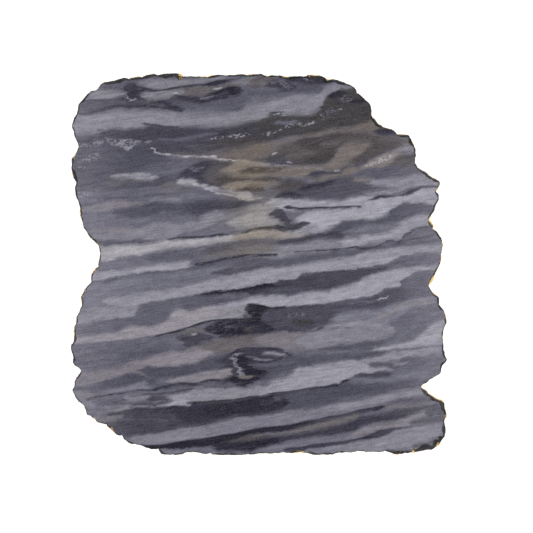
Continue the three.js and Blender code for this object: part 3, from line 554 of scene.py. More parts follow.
    "below the middle, right": """
slate+7 soft: 60 -30 -38.5, 66 -29 -38, 72 -28.8 -37.5, 78 -28.2 -37, 84 -26.7 -36.6, 88 -26 -36.2,
  91 -24.8 -36, 95 -22.3 -35.9, 99 -20.3 -35.6, 103 -18.6 -34, 106 -18.2 -32, 110 -17.8 -30.5,
  114 -15 -29.8, 116 -11.5 -29.5, 119 -9 -28.8, 122 -6.5 -28, 126 -5.2 -26.5, 134 -4.6 -25, 148 -5 -25;
charcoal+12 haze: 62 -30 -37.5, 80 -28.5 -37, 96 -24 -35.5, 112 -19 -31;
light+9 light: -62 -36 -44, -57 -38 -50, -52 -38.5 -48.3, -46 -35.7 -46.3, -38 -34 -44.5, -30 -32.8 -43.8,
  -22 -31.1 -43.3, -14 -29.5 -43, -8 -26.8 -31.5, -4 -26 -31.3, 0 -25.2 -32, 4 -25 -33, 10 -24.7 -34,
  18 -24.2 -33.3, 27 -25 -33, 34 -23.5 -32.2, 40 -22.3 -31.8, 48 -21.3 -31.2, 56 -22 -30.5, 60 -20 -30,
  66 -18.4 -28.9, 72 -16.9 -27.7, 78 -14.6 -27, 84 -11 -25.5, 88 -9 -25.8, 91 -8.2 -25, 95 -7.2 -22.5,
  99 -6.2 -20.5, 103 -5.4 -18.8, 108 -4.5 -18, 113 -3.9 -17.5, 115 -3.6 -12.5, 118 -3.3 -10, 121 -3.1 -9,
  125 -2.4 -5.8, 130 -1.4 -5, 138 -0.3 -4.5, 148 0.3 -4.2;
brown+16 haze: -32 -35 -42, -20 -35 -42, -10 -34 -42;
ink+2 mottled: -9.5 -33 -36, -6 -31.6 -43, -3 -31 -44, 0 -31.8 -44, 4 -33 -38;
ink+4 crisp: 0 -31.8 -34.2, 6 -33 -35, 12 -33.8 -35, 20 -33.2 -34.5;
calcite-4 specks: 96 -27 -29, 100 -26.2 -28.2, 104.5 -25.5 -27;
mid vein: 73 -31 -32, 80 -29.3 -30.6, 88 -29 -30, 95 -28.5 -29.5;
grey+6 soft: 64 -40 -47, 70 -38.5 -50, 80 -37.3 -50, 90 -36.8 -50, 98 -36 -48, 104 -34 -47, 108 -31.5 -45.5,
  112 -30.5 -43, 116 -29.5 -40.5, 118 -29 -38.5, 121 -28.3 -36, 124 -27.5 -33.3, 130 -26.2 -32.8,
  138 -25.4 -33, 148 -26.5 -33;
rose+4 soft: 97 -41 -43.5, 104 -37.5 -41, 112 -32.6 -37, 120 -29.8 -33.6, 128 -28 -31.8, 138 -27.2 -31;""",
    "lower left": """
silver+8 light: -148 -38 -48.5, -136 -36 -46.8, -128 -35 -45, -120 -34.5 -44.3, -112 -34 -43.3,
  -102 -33 -42.5;
slate+9 soft: -150 -49.5 -57.3, -138 -47.7 -57, -130 -45.3 -56.5, -122 -44.6 -55.7, -114 -43.6 -54.8,
  -110 -43.2 -53, -106 -43 -50.5, -103 -42.5 -49, -100 -42 -49, -97 -37 -49, -94 -33.5 -49, -90 -31.5 -48.8,
  -84 -31 -48.3, -78 -31.5 -47, -74 -34 -44, -72 -37 -40;
rose+13 light: -150 -57.8 -63, -138 -57.4 -62.8, -130 -56.7 -62.5, -122 -55.9 -61.5, -114 -54.7 -60,
  -106 -51 -59.3, -98 -49.3 -58.5, -90 -49.3 -57.5, -82 -48.3 -56.3, -76 -46 -55, -70 -41 -53.5,
  -64 -38 -52, -58 -37.5 -50.3, -52 -37.3 -48.3, -47 -36 -46.5, -42 -34 -45;
mid-2 soft: -84 -57 -63, -74 -56 -62, -66 -55 -58;
brown+2 mottled: -60 -53.5 -56, -54 -52 -56, -48 -50.5 -54, -43 -50 -53;
charcoal+12 mottled: -64 -57 -60, -56 -56 -66, -50 -55 -66, -44 -56 -63, -36 -58 -60;
ink+4 mottled: -33 -46 -57.5, -26 -45 -60, -18 -45 -59, -10 -45 -56.5, 0 -45 -56, 8 -48 -54;
ink crisp: -82 -56.5 -57.5, -74 -54.8 -56, -66 -52.8 -54.2, -58 -50.5 -52, -52 -48.6 -50, -46 -46.5 -48,
  -40 -44.9 -46.3, -32 -44.2 -45.6, -24 -43.6 -45, -16 -43.2 -44.6, -8 -43 -44.6, 0 -43 -45;
umber+4 mottled: -9 -50 -53, -4 -49.6 -53.4, 1 -50 -53;
calcite vein: -54 -55 -56, -51.5 -55 -56;
light-4 specks: -144 -68.5 -70.5, -140 -67.3 -70.3, -136 -68.6 -70.2;
dark+8 seam: -146 -72.6, -130 -71.4, -116 -70.4, -100 -70.2;
slate-4 seam: -146 -79.6, -130 -77.4, -116 -76, -104 -76.6;
slate+2 soft: -106 -70 -77, -96 -68.5 -75.5, -88 -67 -73.6, -80 -66 -72, -72 -65.5 -70, -64 -66 -68.5;
brown+4 soft: -50 -65.5 -70, -44 -63.5 -71, -36 -61 -71.5, -28 -59 -71, -20 -58 -69, -12 -56.8 -67.3,
  -4 -56.3 -65, 4 -56 -64.5;
rose+4 soft: -102 -78 -81, -92 -75.5 -81.5, -84 -73.5 -81.4, -76 -71.5 -81.5, -68 -69.5 -81,
  -60 -69.3 -80.5, -52 -67.8 -80, -46 -66.8 -79, -41 -67.8 -75;""",
    "lower right": """
rose-10 soft: 4 -56.5 -64, 12 -55 -65, 24 -54 -68, 38 -54.5 -69, 50 -53 -68;
silver soft: 44 -52 -69, 52 -49 -67, 62 -47.6 -65, 74 -46.5 -63.6, 86 -46 -62, 96 -46.4 -60, 106 -48 -57;
mid seam: 58 -50.6, 66 -50.2, 74 -51;
light vein: 62 -47.5 -48.7, 68 -47 -49.3, 74 -46.3 -48.3, 86 -45.5 -47;
grey specks: 26 -38.8 -42, 32 -39 -42, 37 -39.4 -41.8;
olive+4 mottled: 30 -45 -49, 36 -44.6 -49.4, 41 -45 -48.6;
charcoal crisp: 3 -51.3 -53.5, 10 -51.6 -52.3, 20 -51.8 -52.3, 28 -52.1 -52.7, 36 -52.8 -53.3,
  42 -53.1 -53.6, 46 -51.8 -52.5, 52 -49.8 -50.3;
charcoal mottled: -1 -48 -54, 4 -47.6 -54.4, 9 -49 -53.6;
slate+13 soft: 104 -46.5 -48, 108 -45 -50.5, 110 -44 -63, 113 -42 -62.5, 117 -39.5 -61.3, 119 -37 -60.8,
  123 -34.5 -60, 126 -33.7 -59.5, 130 -33.6 -58.5, 134 -33.5 -56.5, 137 -33.6 -50, 140 -33.7 -44.7,
  150 -35.5 -44.5;
light+14 soft: 94 -67 -69, 104 -65.3 -68.5, 112 -63.8 -67.5, 118 -62 -67, 124 -60.5 -66.5, 128 -58.3 -66,
  132 -55 -65.7, 136 -51 -65.4, 140 -47.5 -65, 145 -45.2 -64.7, 154 -44.8 -64;
slate-6 soft: 38 -69.5 -71.5, 46 -68.3 -70.3, 54 -67 -69.4, 62 -65.2 -69.4, 70 -64.3 -69, 78 -63.2 -67.8,
  86 -62 -67.4, 92 -61.5 -66, 98 -60.8 -64.6;
mid mottled: 40 -70 -73.5, 56 -69.6 -73, 70 -69 -72, 80 -68 -71;
slate seam: 84 -70.8, 92 -70.5, 100 -70, 108 -69, 116 -68, 124 -67.2, 132 -66.2, 140 -65.5, 150 -64.8;
light-4 ragged: 86 -74.5 -79, 96 -72.5 -78.5, 104 -71 -78, 110 -70 -77.3, 118 -69 -74.5, 126 -68.2 -73.2,
  134 -67.3 -72.2, 142 -66.6 -70.8, 150 -66.5 -70;
slate-4 soft: 20 -74 -80, 24 -73.5 -80.5, 32 -73.3 -81, 40 -73.3 -79.5, 46 -73 -78.5, 54 -72.7 -77.8,
  62 -72.3 -77.2, 70 -71 -77, 78 -71 -76.8, 84 -70.5 -75.5, 92 -70.5 -74, 100 -70.3 -72;""",
    "the bottom, left": """
rose-9 light: -150 -88 -97.5, -136 -86.5 -97, -128 -85.5 -94.5, -120 -84 -91.5, -112 -82 -89.5,
  -104 -80 -87.3, -98 -78 -86.5, -94 -77 -88, -90 -81.5 -89.5, -86 -89 -91;
slate-7 ragged: -96 -84 -85.5, -92 -82.3 -88, -86 -81.3 -91, -78 -82 -91.8, -70 -81.5 -90.5,
  -62 -80.8 -89.7, -54 -80 -87.6, -48 -79 -86, -40 -76 -84.5, -34 -74 -83.5, -28 -73 -83;
slate-9 ragged: -152 -98 -102, -138 -97.5 -102.8, -132 -96.5 -103, -126 -94.3 -102, -118 -92 -100,
  -110 -90 -98.5, -104 -88 -97, -98 -87 -95, -93 -89 -93.7, -88 -91 -94, -82 -93 -95.5;
grey+8 ragged: -124 -101.5 -103.4, -116 -99.5 -102.5, -108 -98 -101.2, -102 -96 -100.7, -96 -94.5 -100.2,
  -90 -94 -99.3, -84 -95 -98, -78 -95.5 -96;
rose-8 soft: -146 -101 -107.5, -134 -102 -107;
slate+2 soft: -85 -94 -98.5, -70 -95.5 -100, -50 -95.5 -98.6, -30 -94 -98.4, -14 -93 -98;
rose ragged: -70 -91.5 -95, -62 -90.3 -94.9, -54 -88.5 -94.6, -46 -86.5 -93.5, -40 -85.2 -92.3,
  -34 -84.2 -92, -28 -83.3 -92, -22 -82.8 -91, -16 -82 -89.5, -10 -86 -90, -5 -89 -90;
charcoal seam: -137 -107.9, -131 -106.3, -124 -105, -116 -103.6, -108 -102.5, -103.7 -101.2, -94.6 -100.5,
  -85.4 -100.3, -78.6 -99;
charcoal-4 seam_wide: -82 -99.4, -78.6 -99, -73 -97.8, -67 -96, -59 -95.6, -51 -95.6, -46.6 -94.3, -42 -93,
  -36.3 -92.6, -30.6 -92.8, -26.6 -93.4;
charcoal+6 seam: -110 -108, -100 -105, -92 -103.9, -84 -103.6, -76 -103, -68 -102, -62 -101.3, -56 -100,
  -50 -98.8, -42 -98, -34 -98, -26 -98.5, -18 -98.6, -13 -98, -10 -96;
ink+4 mottled: -24 -89.5 -94, -20 -89 -94, -16 -90 -93.4;
ink+4 mottled: -15 -92 -97, -11 -92 -98, -7 -93 -97;""",
    "the knot": """
slate-3 soft: -46 -76 -82, -40 -73.5 -83.5, -34 -72 -83.5, -28 -71 -82, -22 -70 -80;
charcoal+8 ragged: -23 -71 -84, -20 -69 -89, -14 -67.8 -93, -6 -67.3 -93, 4 -66.8 -92, 12 -67 -90,
  18 -68.5 -86, 23 -70.5 -80;
slate-2 soft: 2 -77 -87, 10 -76.5 -90, 20 -74.5 -88, 32 -73.5 -83;
sand-8 soft: -14 -88.5 -91, -8 -87 -91, -4 -88 -90.5;
ink+6 mottled: -18 -72 -75, -15.5 -71 -80, -12.5 -72 -84, -9.5 -76 -86.5, -6 -81.5 -88, 0 -84.3 -88,
  3 -85.2 -87.4;
ink+4 mottled: -7 -84 -88, -2 -83.4 -88.4, 4 -84.4 -88;
ink+8 mottled: -16 -74.5 -79, -12.6 -76 -83, -10 -79 -85;
charcoal-6 seam: -21 -71.5, -16 -68.4, -10 -67.2, -2 -67, 6 -66.7, 14 -67, 19 -68.2, 22 -70.5;
charcoal-4 seam: -8 -76.4, 0 -77.6, 8 -78, 15 -76.6, 20 -73.8;
mid crisp: -9 -73 -74.2, -5 -73.4 -74.8, 1 -75.2 -76.4;
silver-4 ragged: 5 -69.6 -71.2, 9 -69.2 -71.6, 14 -69.8 -72.4, 19 -71 -73.2;
light-6 vein: 6 -70 -71.4, 11 -70 -71.8, 16 -70.8 -72.6;
grey seam: -2 -75.2, 4 -76, 10 -76.2;
slate+8 seam: -4 -80, 6 -80.6, 18 -79.4, 30 -77.6;
dark seam: -2 -82.6, 8 -83.2, 20 -81.6, 30 -79.8;
silver+4 vein: -21.5 -74.5 -77, -20 -73.4 -79.4, -18.6 -74.6 -82, -17 -78 -85, -15 -82.5 -87.5,
  -12.6 -85.4 -88.8;
light-4 vein: -19 -71.5 -73.4, -15.4 -70.4 -72.4;
ink+6 crisp: -24 -90.6 -92.4, -20 -89.4 -94, -16 -91 -93.5, -8 -91.6 -93.6, 0 -90 -92.4;""",
    # In the bottom, right, the charcoal+8 mottled stratum along the rim from x 126 to 150 paints the dark of
    # a chipped bevel flat on the upper face: part dark broken stone, part painted shade.
    "the bottom, right": """
charcoal+2 dark: -58 -104 -126, -50 -106 -127, -30 -104 -125.5, -10 -103 -122, 6 -102 -120, 20 -100 -117.6,
  34 -98 -115.5, 48 -96 -114, 62 -94 -111.5, 74 -92 -109.5, 84 -94 -107.6, 94 -95 -105;
slate-5 soft: 14 -101 -118, 34 -98 -115.5, 48 -96 -114, 62 -94 -111.5, 74 -92 -109.5, 84 -94 -107.6,
  96 -95 -104.5, 106 -95 -102;
ink+12 mottled: -32 -108.2 -124, -20 -107 -122.5, 0 -105.4 -121.4, 14 -104 -117;
grey-6 soft: 72 -91.5 -94, 82 -90.5 -94.8, 90 -90 -95, 98 -90 -95, 106 -89.3 -94, 114 -88 -93,
  122 -86.5 -92.2, 134 -85 -91;
charcoal+6 mottled: 78 -87 -90, 90 -86.5 -90, 104 -86.5 -89.6;
slate+2 ragged: 88 -80 -82, 92 -78.5 -82.3, 98 -78.3 -81.9, 104 -78 -82.5, 110 -77.5 -82.9, 114 -76 -82.8,
  118 -74.8 -82.3, 130 -74 -80.5;
silver mottled: 109 -78.4 -80.2, 114 -78.2 -80.6, 118 -78.6 -79.8;
light+4 light: -80 -107.8 -113, -72 -105.6 -113.4, -64 -104 -113.2, -60 -103 -113, -57 -102.3 -113.6,
  -54.5 -101.4 -112.2, -52 -99.6 -109.6, -50 -99.3 -109.8, -46 -99 -110, -43 -99 -109.5, -38 -99.1 -108.5,
  -34 -99.3 -108.8, -30 -99.5 -108, -26 -99.6 -107.6, -22 -99.7 -108, -18 -99.6 -107.2, -14 -99.3 -106.3,
  -10 -100.7 -105.8, -6 -100.9 -105.4, 0 -98.4 -105.6, 4 -98.9 -105.3, 8 -95.9 -104.2, 10 -94.9 -102.8,
  14 -92.9 -102.5, 20 -91.4 -102, 28 -86.9 -101, 34 -82 -100, 40 -82 -98.8, 46 -80.8 -97, 54 -79.8 -96.5,
  57 -79.6 -95.3, 60 -79.4 -94.6, 64 -77.4 -95.5, 67 -77.2 -93.5, 70 -77 -91.5, 74 -77 -89.5, 78 -77 -88,
  82 -78 -86.8, 86 -79.3 -86.5, 92 -82.5 -86.5, 95 -82.4 -85.5, 98 -82.3 -84.5, 104 -83.5 -84.5,
  107 -84.6 -84.8;
silver+3 soft: -50 -99.8 -110, -30 -99.5 -108.5, -18 -99.6 -107.5, -8 -99 -105.8, 0 -98 -104;
ink+6 seam: -56 -111, -42 -109.8, -30 -108.8, -18 -107.8, -8 -106.2, 2 -105.6, 8 -103.4, 16 -102.4,
  26 -101.4, 36 -100, 46 -98.6, 54 -97.4, 63 -96, 66 -94.4, 72 -92.4;
slate-4 seam: 28 -103.8, 38 -102.8, 46 -101.8, 55 -100.7;
slate mottled: 60 -106.5 -108.5, 70 -106 -108.2, 78 -106 -107.6;
slate vein: 13.6 -105 -108.6, 16 -104.6 -109, 18.6 -105.4 -108;
light-8 mottled: -138 -109 -112.5, -126 -109.4 -112;
silver mottled: -104 -104.5 -108.5, -96 -104.6 -108.4, -88 -105 -108;
silver-4 mottled: -120 -112.6 -117, -112 -112 -118, -104 -112.6 -116.6;
slate-4 mottled: -130 -108 -112.6, -122 -107.6 -113, -114 -108 -112;
dark mottled: -84 -105 -111.4, -78 -104.6 -112, -73 -105.4 -111.4;
dark seam: -97 -111.4, -88 -111, -80 -111.6;
silver seam: -98 -113.6, -90 -113.4, -84 -113.8;
charcoal seam: -128 -123.5, -120 -121.3, -112 -118.5, -104 -116.5, -96 -116, -84 -115.8, -74 -115.5,
  -66 -114, -60 -114.5;
rose-14 mottled: -131 -122 -126.5, -122 -121.6 -127, -112 -121 -125;
slate seam: -112 -124.8, -100 -124.2, -86 -124.2, -75 -124.6;
charcoal seam: -86 -118.3, -76 -118, -66 -118.6;
silver-2 ragged: -100 -138 -142, -90 -136.5 -144.5, -84 -135.5 -144.8, -76 -134 -143.7, -68 -132 -142.2,
  -60 -131 -140.8, -52 -130 -139.6, -44 -129 -139.3, -36 -128 -137.8, -28 -126.5 -136.2, -22 -124.5 -135.7,
  -16 -123 -134.5, -10 -122.5 -133, -2 -122 -131, 6 -121 -129.7, 14 -119.5 -128.9, 22 -117.8 -128.2,
  30 -116.5 -126.5, 38 -115.8 -125, 46 -115 -123.8, 54 -113.5 -122, 60 -112 -120.8, 68 -111 -119.5,
  76 -110 -116.8, 84 -108.5 -115, 90 -107 -114.3, 96 -105.5 -113.5, 102 -104 -110.6, 108 -103 -108.9,
  116 -101.5 -107.3, 122 -100.3 -106.2, 128 -98.5 -105.5, 138 -103 -106;
grey haze: -30 -125 -137, 0 -121 -131, 30 -116.5 -126.5, 56 -113 -122;
light-8 haze: 66 -110 -119, 90 -106 -114, 112 -101 -108, 134 -98 -106;
slate-8 soft: 94 -113.5 -116, 106 -109.8 -113.8, 112 -108.3 -113, 120 -107 -112, 128 -106 -111.3,
  136 -107 -111, 150 -109.5 -111.5;
rose-14 soft: 104 -112.4 -116, 120 -111.6 -115, 150 -111 -114.6;
ink+4 crisp: -104 -142.5 -150, -90 -144.5 -150, -80 -144.4 -148, -66 -142 -148, -60 -140.8 -147.5,
  -54 -140 -146, -44 -139.3 -145.5, -36 -137.8 -144, -28 -136.2 -142, -20 -135.3 -140.5, -12 -133.5 -138.5,
  -4 -131.5 -136.8, 6 -129.7 -135, 14 -128.9 -134, 22 -128.2 -133, 28 -127 -132, 34 -125.8 -131.5,
  40 -124.7 -129.5, 46 -123.8 -128, 52 -122.4 -126.5, 58 -121.2 -125, 64 -120.2 -123.5, 70 -118.9 -122,
  76 -116.8 -120.5, 82 -115.3 -119.5, 90 -114.3 -117.5, 98 -113 -116;
slate-8 haze: 50 -122 -127, 70 -118 -122.6, 92 -114 -118;
brown-10 soft: -28 -142.5 -143.5, -20 -140.5 -144.3, -12 -138 -142.8, -4 -136.5 -141.7, 2 -135.8 -141;
ink+4 seam: -32 -148, -22 -146, -14 -144.5, -6 -142.8, 0 -142;
grey mottled: -78 -148.2 -151.5, -68 -148 -152, -60 -148.4 -151;
grey+2 mottled: -37 -149.7 -153, -22 -149 -153, -10 -149.7 -152.5;
brown+2 soft: -3 -138 -140.5, 6 -136 -138.5, 14 -135 -137.5, 24 -133 -136.1, 32 -131.5 -135,
  40 -129.5 -133.6, 48 -127.8 -131.8, 56 -125.8 -130.4, 64 -123.8 -128, 72 -121.8 -126, 79 -120.3 -122.5;
brown+14 haze: 34 -130.4 -134, 50 -127 -131, 66 -123 -127.4, 78 -120 -122.6;
charcoal+4 soft: -3 -140 -148.5, 4 -138.8 -146.5, 10 -137.6 -144.8, 16 -137 -143.7, 22 -136.4 -142.5,
  28 -135.7 -141.3, 36 -134.5 -140, 42 -133.4 -138.8, 50 -131.8 -138, 58 -130 -137.8, 64 -128.3 -137,
  70 -126.8 -135.8, 76 -124.7 -134, 82 -121.6 -130.5, 88 -121.2 -128.5, 96 -120.2 -127, 104 -118 -126.3,
  110 -116 -125, 116 -114.8 -124.3, 122 -114 -122.5, 128 -113.4 -120, 134 -113 -118.3, 150 -113 -116.5;
ink+8 soft: -30 -141 -150, -10 -141 -150, 0 -139.5 -149, 12 -138.5 -146;
grey soft: -3 -148.5 -150, 6 -146 -150, 14 -144 -149.5, 20 -143 -148.3, 26 -141.6 -146.3, 36 -140 -145.5,
  40 -139.4 -143.8, 46 -138.4 -142.8, 54 -137.9 -142, 62 -137.4 -141.5, 70 -135.8 -140.7, 78 -133 -139,
  84 -130 -137.5, 90 -128.4 -135.5, 96 -127 -132.5, 102 -126.4 -131, 108 -125.4 -130, 116 -124.4 -129.5,
  122 -122.6 -128, 130 -120 -127.5;
rose-6 soft: 80 -133 -138, 90 -129 -134.6, 100 -127 -131, 112 -125.4 -129.6, 124 -123 -128;
silver-3 soft: 60 -144.6 -152, 72 -142 -152, 84 -140 -152, 96 -136 -152, 108 -131 -150, 124 -129.6 -147,
  140 -127.4 -146, 154 -125.6 -140;
grey+6 soft: 34 -148 -152, 44 -146 -152, 60 -145 -152;
charcoal+5 crisp: 22 -147.5 -149, 26 -146.3 -150, 34 -145.7 -150, 38 -144.5 -148, 44 -143.2 -146.8,
  52 -142.4 -146.2, 60 -141.8 -145, 66 -141.3 -144, 74 -140.2 -142.5, 82 -138.4 -141, 88 -136.5 -140;
charcoal+6 crisp: 82 -138.4 -141, 88 -136.5 -140, 94 -133.5 -139, 98 -132 -138, 102 -131.2 -136,
  106 -130.3 -134.5, 110 -130.1 -132.5, 116 -129.9 -131.2, 124 -128.9 -130, 132 -128.3 -129.2;
light-2 haze: 100 -140.5 -146, 114 -136 -143.5, 128 -130.5 -139, 140 -128 -134;
charcoal+10 soft: 122 -125.2 -127.6, 130 -123.8 -127, 138 -122.8 -126.2, 148 -122 -124.8;
dark+4 ragged: 121 -125.5 -126.5, 126 -124 -127, 132 -122.5 -127.3, 138 -121.3 -126.8, 143 -121.8 -125.5,
  152 -122.5 -124;
rose-2 soft: 112 -124 -126, 118 -122 -125.5, 122 -120.3 -124.5, 128 -118.4 -122.8, 134 -117.1 -121.5,
  140 -117.8 -121, 145 -120 -121.3;
dark-2 mottled: 143 -111 -124, 146 -111 -124, 152 -111 -124;
charcoal+8 mottled: 126 -144 -147, 132 -143 -147.5, 136 -142 -147, 140 -139.5 -146.5, 144 -138 -144,
  150 -136 -140;
charcoal mottled: 102 -149 -150.5, 112 -148.6 -151, 122 -148.8 -150.5;""",
}


# ---------------------------------------------------------------- the stone's material

REACH = 160.0                   # mm from the strata's middle to where their own scale reaches 1
STRATA_MIDDLE = (0.2, 0.25)     # mm from the slab's middle to the strata's middle
DIP = (0.8, 0.5)                # mm that the strata move in x and y for each mm of depth
DEPTH_OF_FACE = 13.0            # mm from the underside to the upper face
STRATA_IN_GROUP = 12            # the strata are laid in groups of this many
ZONE_BORDERS = (110.0, 70.0, 30.0, -10.0, -50.0, -90.0)     # mm: one zone has one material
ZONE_MARGIN = 9.0               # mm past its borders from which a zone still takes strata
FLOW_SLOPE = 0.15               # how fast the fine layers rise towards the right
FLOW_CHANGE = 0.7               # how fast they change through the thickness, next to across it
WANDER = 2.0                    # mm of slow wander in the strata's edges, for each unit of noise
STREAKS = 2.6                   # mm that fine streaks move a ragged edge
LUMPS = 3.0                     # mm that lumps move it
FRAYING = 10.0                  # mm that streaks draw out a stratum's ends
PALE_SIDES = (92.0, 150.0, 0.0, 0.27)       # mm from the middle where the stone pales, and how much
STAIN = (1.05, 1.0, 0.86, 1.0)  # how a warm stain right through the stone changes its colour
STAIN_FLATNESS = 0.45           # its width as a share of its length, which runs across the bands
STAIN_MIDDLE = (-7.0, 26.0, 0.0)            # mm, with its y times the flatness
STAIN_REACH = (8.0, 34.0, 1.0, 0.0)         # mm from there over which it fades, and its strength
LAYER_CONTRAST = 0.45           # share of the tone that the fine layers add or take away
LAYER_LIFT = 0.03               # light that they add or take away, whatever the tone
CLOUD_CONTRAST = 0.9            # the same share for cloudy patches
GRAIN_CONTRAST = 0.6            # the same share for the crystal grain
GRAIN_LIFT = 0.08               # and the grain's light
FLECK_RANGE = (0.67, 0.75)      # noise over which a light fleck comes in
FLECK_STRENGTH = 0.55
POLISH = 0.42                   # roughness of the polished faces
POLISH_CHANGE = 0.3             # how much the grain changes it
FACE_SPECULAR = 0.25
FACE_BUMP = 0.01                # mm of relief left by the polishing
RIM_BUMP = 0.5                  # mm of fine relief on the rim
CRYSTAL_RANGE = (0.3, 0.75)     # noise over which the rim's crystals go from dark to light
RIM_TONE_AND_SHADE = (0.08, 0.42)        # darkest and lightest share of the stone's tone on the rim: partly darker broken stone, partly painted shade on its chipped bevels
RELIEF_SHADE_AND_HIGHLIGHT = (-0.75, 0.5, 0.4, 1.12)           # mm of relief over which the rim goes from painted shade in its hollows to painted highlight on its ridges, and how much
RIM_ROUGHNESS = 0.6
GOLD_DEEP = (0.5, 0.31, 0.1, 1.0)
GOLD_BRIGHT = (0.84, 0.59, 0.22, 1.0)
GOLD_ROUGHNESS = 0.38
GOLD_DEPTHS = (1.8, 5.0, 0.0, 0.5)          # mm of depth over which the gold thickens, and how much
GOLD_PATCHES = 1.7              # how strongly patches of noise thicken or thin it
GOLD_RANGE = (1.05, 1.1)        # thickness over which it covers the stone
LEAF_RANGE = (0.3, 0.72)        # noise over which its tone goes from deep to bright

# Noise as its size in mm, its detail and its roughness.
NOISES = {
    "grain": (0.8, 1.0, 0.5),
    "flecks": (1.3, 2.0, 0.7),
    "crystals": (1.2, 3.0, 0.7),
    "gold_patches": (8.0, 5.0, 0.62),
    "leaf": (2.6, 4.0, 0.6),
    "bumps": (3.5, 3.0, 0.5),
}
# Noise drawn out along the strata, as its length and height in mm, its detail, its roughness and a
# shift that keeps it apart from the others.
STRETCHED_NOISES = {
    "wander": (30.0, 11.0, 1.0, 0.5, 0.0),
    "streaks": (13.0, 2.0, 3.0, 0.5, 40.0),
    "lumps": (4.5, 2.6, 2.0, 0.5, 320.0),
    "patches": (7.0, 2.2, 3.0, 0.6, 80.0),
    "breaks": (9.0, 3.0, 2.0, 0.5, 120.0),
    "specks": (2.4, 1.5, 2.0, 0.5, 160.0),
    "flecks": (3.0, 2.0, 3.0, 0.5, 280.0),
    "layers": (26.0, 1.0, 2.0, 0.5, 200.0),
    "clouds": (9.0, 3.2, 3.0, 0.6, 240.0),
}

# A tone is what is seen, so the stone's own colour is that less the sheen, over the light on it.
SHEEN = 0.025
LIT = 0.95
DARKEST = 0.003                 # the stone's own colour is nowhere darker than this


def linear(shade):
    """A display channel from 0 to 255 as a linear one."""
    shade = max(shade, 0) / 255
    return shade / 12.92 if shade <= 0.04045 else ((shade + 0.055) / 1.055) ** 2.4


def tone_colour(tone):
    """The stone's own linear colour for a tone, such as slate, or slate-4 for one a little darker."""
    name, sign, shift = tone.partition("+") if "+" in tone else tone.partition("-")
    shift = float(sign + shift) if shift else 0.0
    seen = [linear(shade + shift) for shade in TONES[name]]
    return tuple(max((channel - SHEEN) / LIT, DARKEST) for channel in seen) + (1.0,)


def closed_end(row, step, slowness):
    """The row past an end of a stratum, to the left or right by its step, where it has closed."""
    x, upper, lower = row
    reach = CLOSE_FIRST + min(slowness * (upper - lower), CLOSE_LIMIT)
    middle = (upper + lower) / 2
    return [x + step * reach, middle - CROSSING, middle + CROSSING]


def outline_rows(style, outline):
    """A stratum's outline as rows of x, upper and lower in mm, closed to nothing past each end."""
    half = SEAM_WIDTHS.get(style, 0.0) / 2
    slowness = CLOSE_SLOWLY if style == "haze" else CLOSE_SOON
    rows = [[float(number) for number in point.split()] for point in outline.split(",")]
    rows = [row if len(row) == 3 else [row[0], row[1] + half, row[1] - half] for row in rows]
    return [closed_end(rows[0], -1, slowness)] + rows + [closed_end(rows[-1], 1, slowness)]


def read_strata():
    """Every stratum in turn as its tone, its style and the rows of its outline."""
    strata = []
    for text in STRATA_BY_PLACE.values():
        for entry in text.split(";")[:-1]:
            kind, outline = entry.split(":")
            tone, style = kind.split()
            strata.append((tone, style, outline_rows(style, outline)))
    return strata


